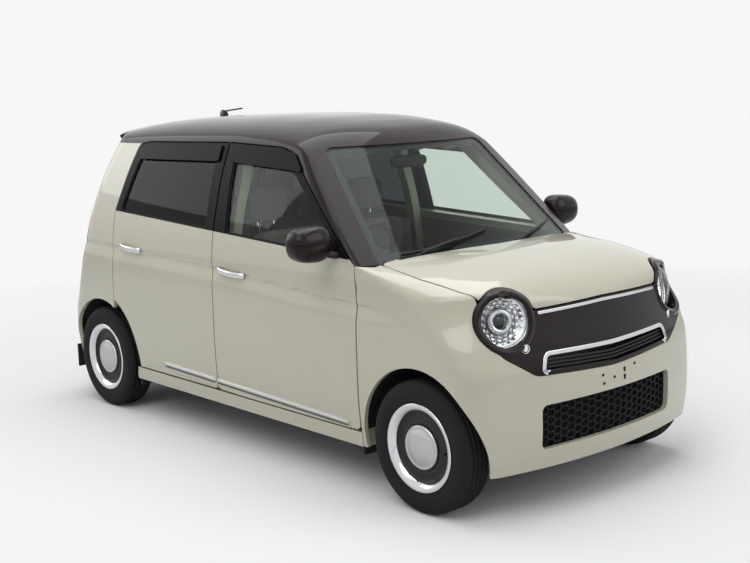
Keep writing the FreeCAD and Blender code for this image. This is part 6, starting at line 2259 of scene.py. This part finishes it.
class CAR_OT_wheels(bpy.types.Operator):
    """Spin the tyres, trim rings, discs and caps and set the shoulder blocks"""
    bl_idname = "car.wheels"
    bl_label = "Wheels"

    def execute(self, context):
        fit_wheels()
        return {"FINISHED"}


class CAR_OT_mirrors(bpy.types.Operator):
    """Fit both door mirrors with their arms and sails"""
    bl_idname = "car.mirrors"
    bl_label = "Door mirrors"

    def execute(self, context):
        fit_mirrors()
        return {"FINISHED"}


class CAR_OT_side_trim(bpy.types.Operator):
    """Fit the handles, window visors, sill mouldings and mud guards"""
    bl_idname = "car.side_trim"
    bl_label = "Side trim"

    def execute(self, context):
        fit_side_details()
        return {"FINISHED"}


class CAR_OT_screen_trim(bpy.types.Operator):
    """Fit the antenna, the wipers and the cowl below the screen"""
    bl_idname = "car.screen_trim"
    bl_label = "Antenna and wipers"

    def execute(self, context):
        fit_roof_and_screen_details()
        return {"FINISHED"}


class CAR_OT_front_seats(bpy.types.Operator):
    """Stuff the front seats and set them on their rails"""
    bl_idname = "car.front_seats"
    bl_label = "Front seats"

    def execute(self, context):
        fit_front_seats()
        return {"FINISHED"}


class CAR_OT_rear_seat(bpy.types.Operator):
    """Stuff the rear seat and set it on its stands"""
    bl_idname = "car.rear_seat"
    bl_label = "Rear seat"

    def execute(self, context):
        fit_rear_seat()
        return {"FINISHED"}


class CAR_OT_dashboard(bpy.types.Operator):
    """Fit the dashboard with its meters, vents, pedals and carpets"""
    bl_idname = "car.dashboard"
    bl_label = "Dashboard"

    def execute(self, context):
        fit_dashboard()
        return {"FINISHED"}


class CAR_OT_steering(bpy.types.Operator):
    """Fit the steering wheel, its column cover and stalks"""
    bl_idname = "car.steering"
    bl_label = "Steering wheel"

    def execute(self, context):
        fit_steering_wheel()
        return {"FINISHED"}


class CAR_OT_door_cards(bpy.types.Operator):
    """Fit the inner trim of the four doors"""
    bl_idname = "car.door_cards"
    bl_label = "Door cards"

    def execute(self, context):
        fit_door_cards()
        return {"FINISHED"}


class CAR_OT_cabin_trim(bpy.types.Operator):
    """Fit the rear-view mirror, the belts and the grab handles"""
    bl_idname = "car.cabin_trim"
    bl_label = "Cabin trim"

    def execute(self, context):
        fit_cabin_details()
        return {"FINISHED"}


class CAR_OT_engine_bay(bpy.types.Operator):
    """Fit what lies round the engine under the bonnet"""
    bl_idname = "car.engine_bay"
    bl_label = "Engine bay"

    def execute(self, context):
        fit_engine_bay()
        return {"FINISHED"}


class CAR_OT_frame_finish(bpy.types.Operator):
    """Give the load-bearing pieces that stay in view their materials"""
    bl_idname = "car.frame_finish"
    bl_label = "Frame finishes"

    def execute(self, context):
        finish_frame()
        return {"FINISHED"}


class CAR_OT_studio(bpy.types.Operator):
    """Set up the floor, the light and the camera"""
    bl_idname = "car.studio"
    bl_label = "Studio"

    def execute(self, context):
        build_stage()
        return {"FINISHED"}


PIECES = [CAR_OT_bonnet, CAR_OT_wings, CAR_OT_doors, CAR_OT_quarters, CAR_OT_bumpers,
          CAR_OT_tailgate, CAR_OT_roof, CAR_OT_glass, CAR_OT_nose, CAR_OT_tail_lamps,
          CAR_OT_intake, CAR_OT_wheels, CAR_OT_mirrors, CAR_OT_side_trim, CAR_OT_screen_trim,
          CAR_OT_front_seats, CAR_OT_rear_seat, CAR_OT_dashboard, CAR_OT_steering, CAR_OT_door_cards,
          CAR_OT_cabin_trim, CAR_OT_engine_bay, CAR_OT_frame_finish, CAR_OT_studio]
GROUPS = {"car_sizes": CarSizes, "car_colors": CarColors, "car_studio": CarStudio}


class CAR_PT_panel(bpy.types.Panel):
    """Lists the choices and the pieces in the order in which they are built"""
    bl_idname = "CAR_PT_panel"
    bl_label = "Car"
    bl_space_type = "VIEW_3D"
    bl_region_type = "UI"
    bl_category = "Car"

    def draw(self, context):
        for group, kind in GROUPS.items():
            box = self.layout.box()
            for key in kind.__annotations__:
                box.prop(getattr(context.scene, group), key)
        column = self.layout.column(align=True)
        for piece in PIECES:
            column.operator(piece.bl_idname)


def register():
    for kind in (*GROUPS.values(), *PIECES, CAR_PT_panel):
        bpy.utils.register_class(kind)
    for group, kind in GROUPS.items():
        setattr(bpy.types.Scene, group, bpy.props.PointerProperty(type=kind))


def unregister():
    for group in GROUPS:
        delattr(bpy.types.Scene, group)
    for kind in reversed((*GROUPS.values(), *PIECES, CAR_PT_panel)):
        bpy.utils.unregister_class(kind)


def main():
    register()
    for piece in PIECES:
        getattr(bpy.ops.car, piece.bl_idname.partition(".")[2])()


if __name__ == "__main__":
    main()
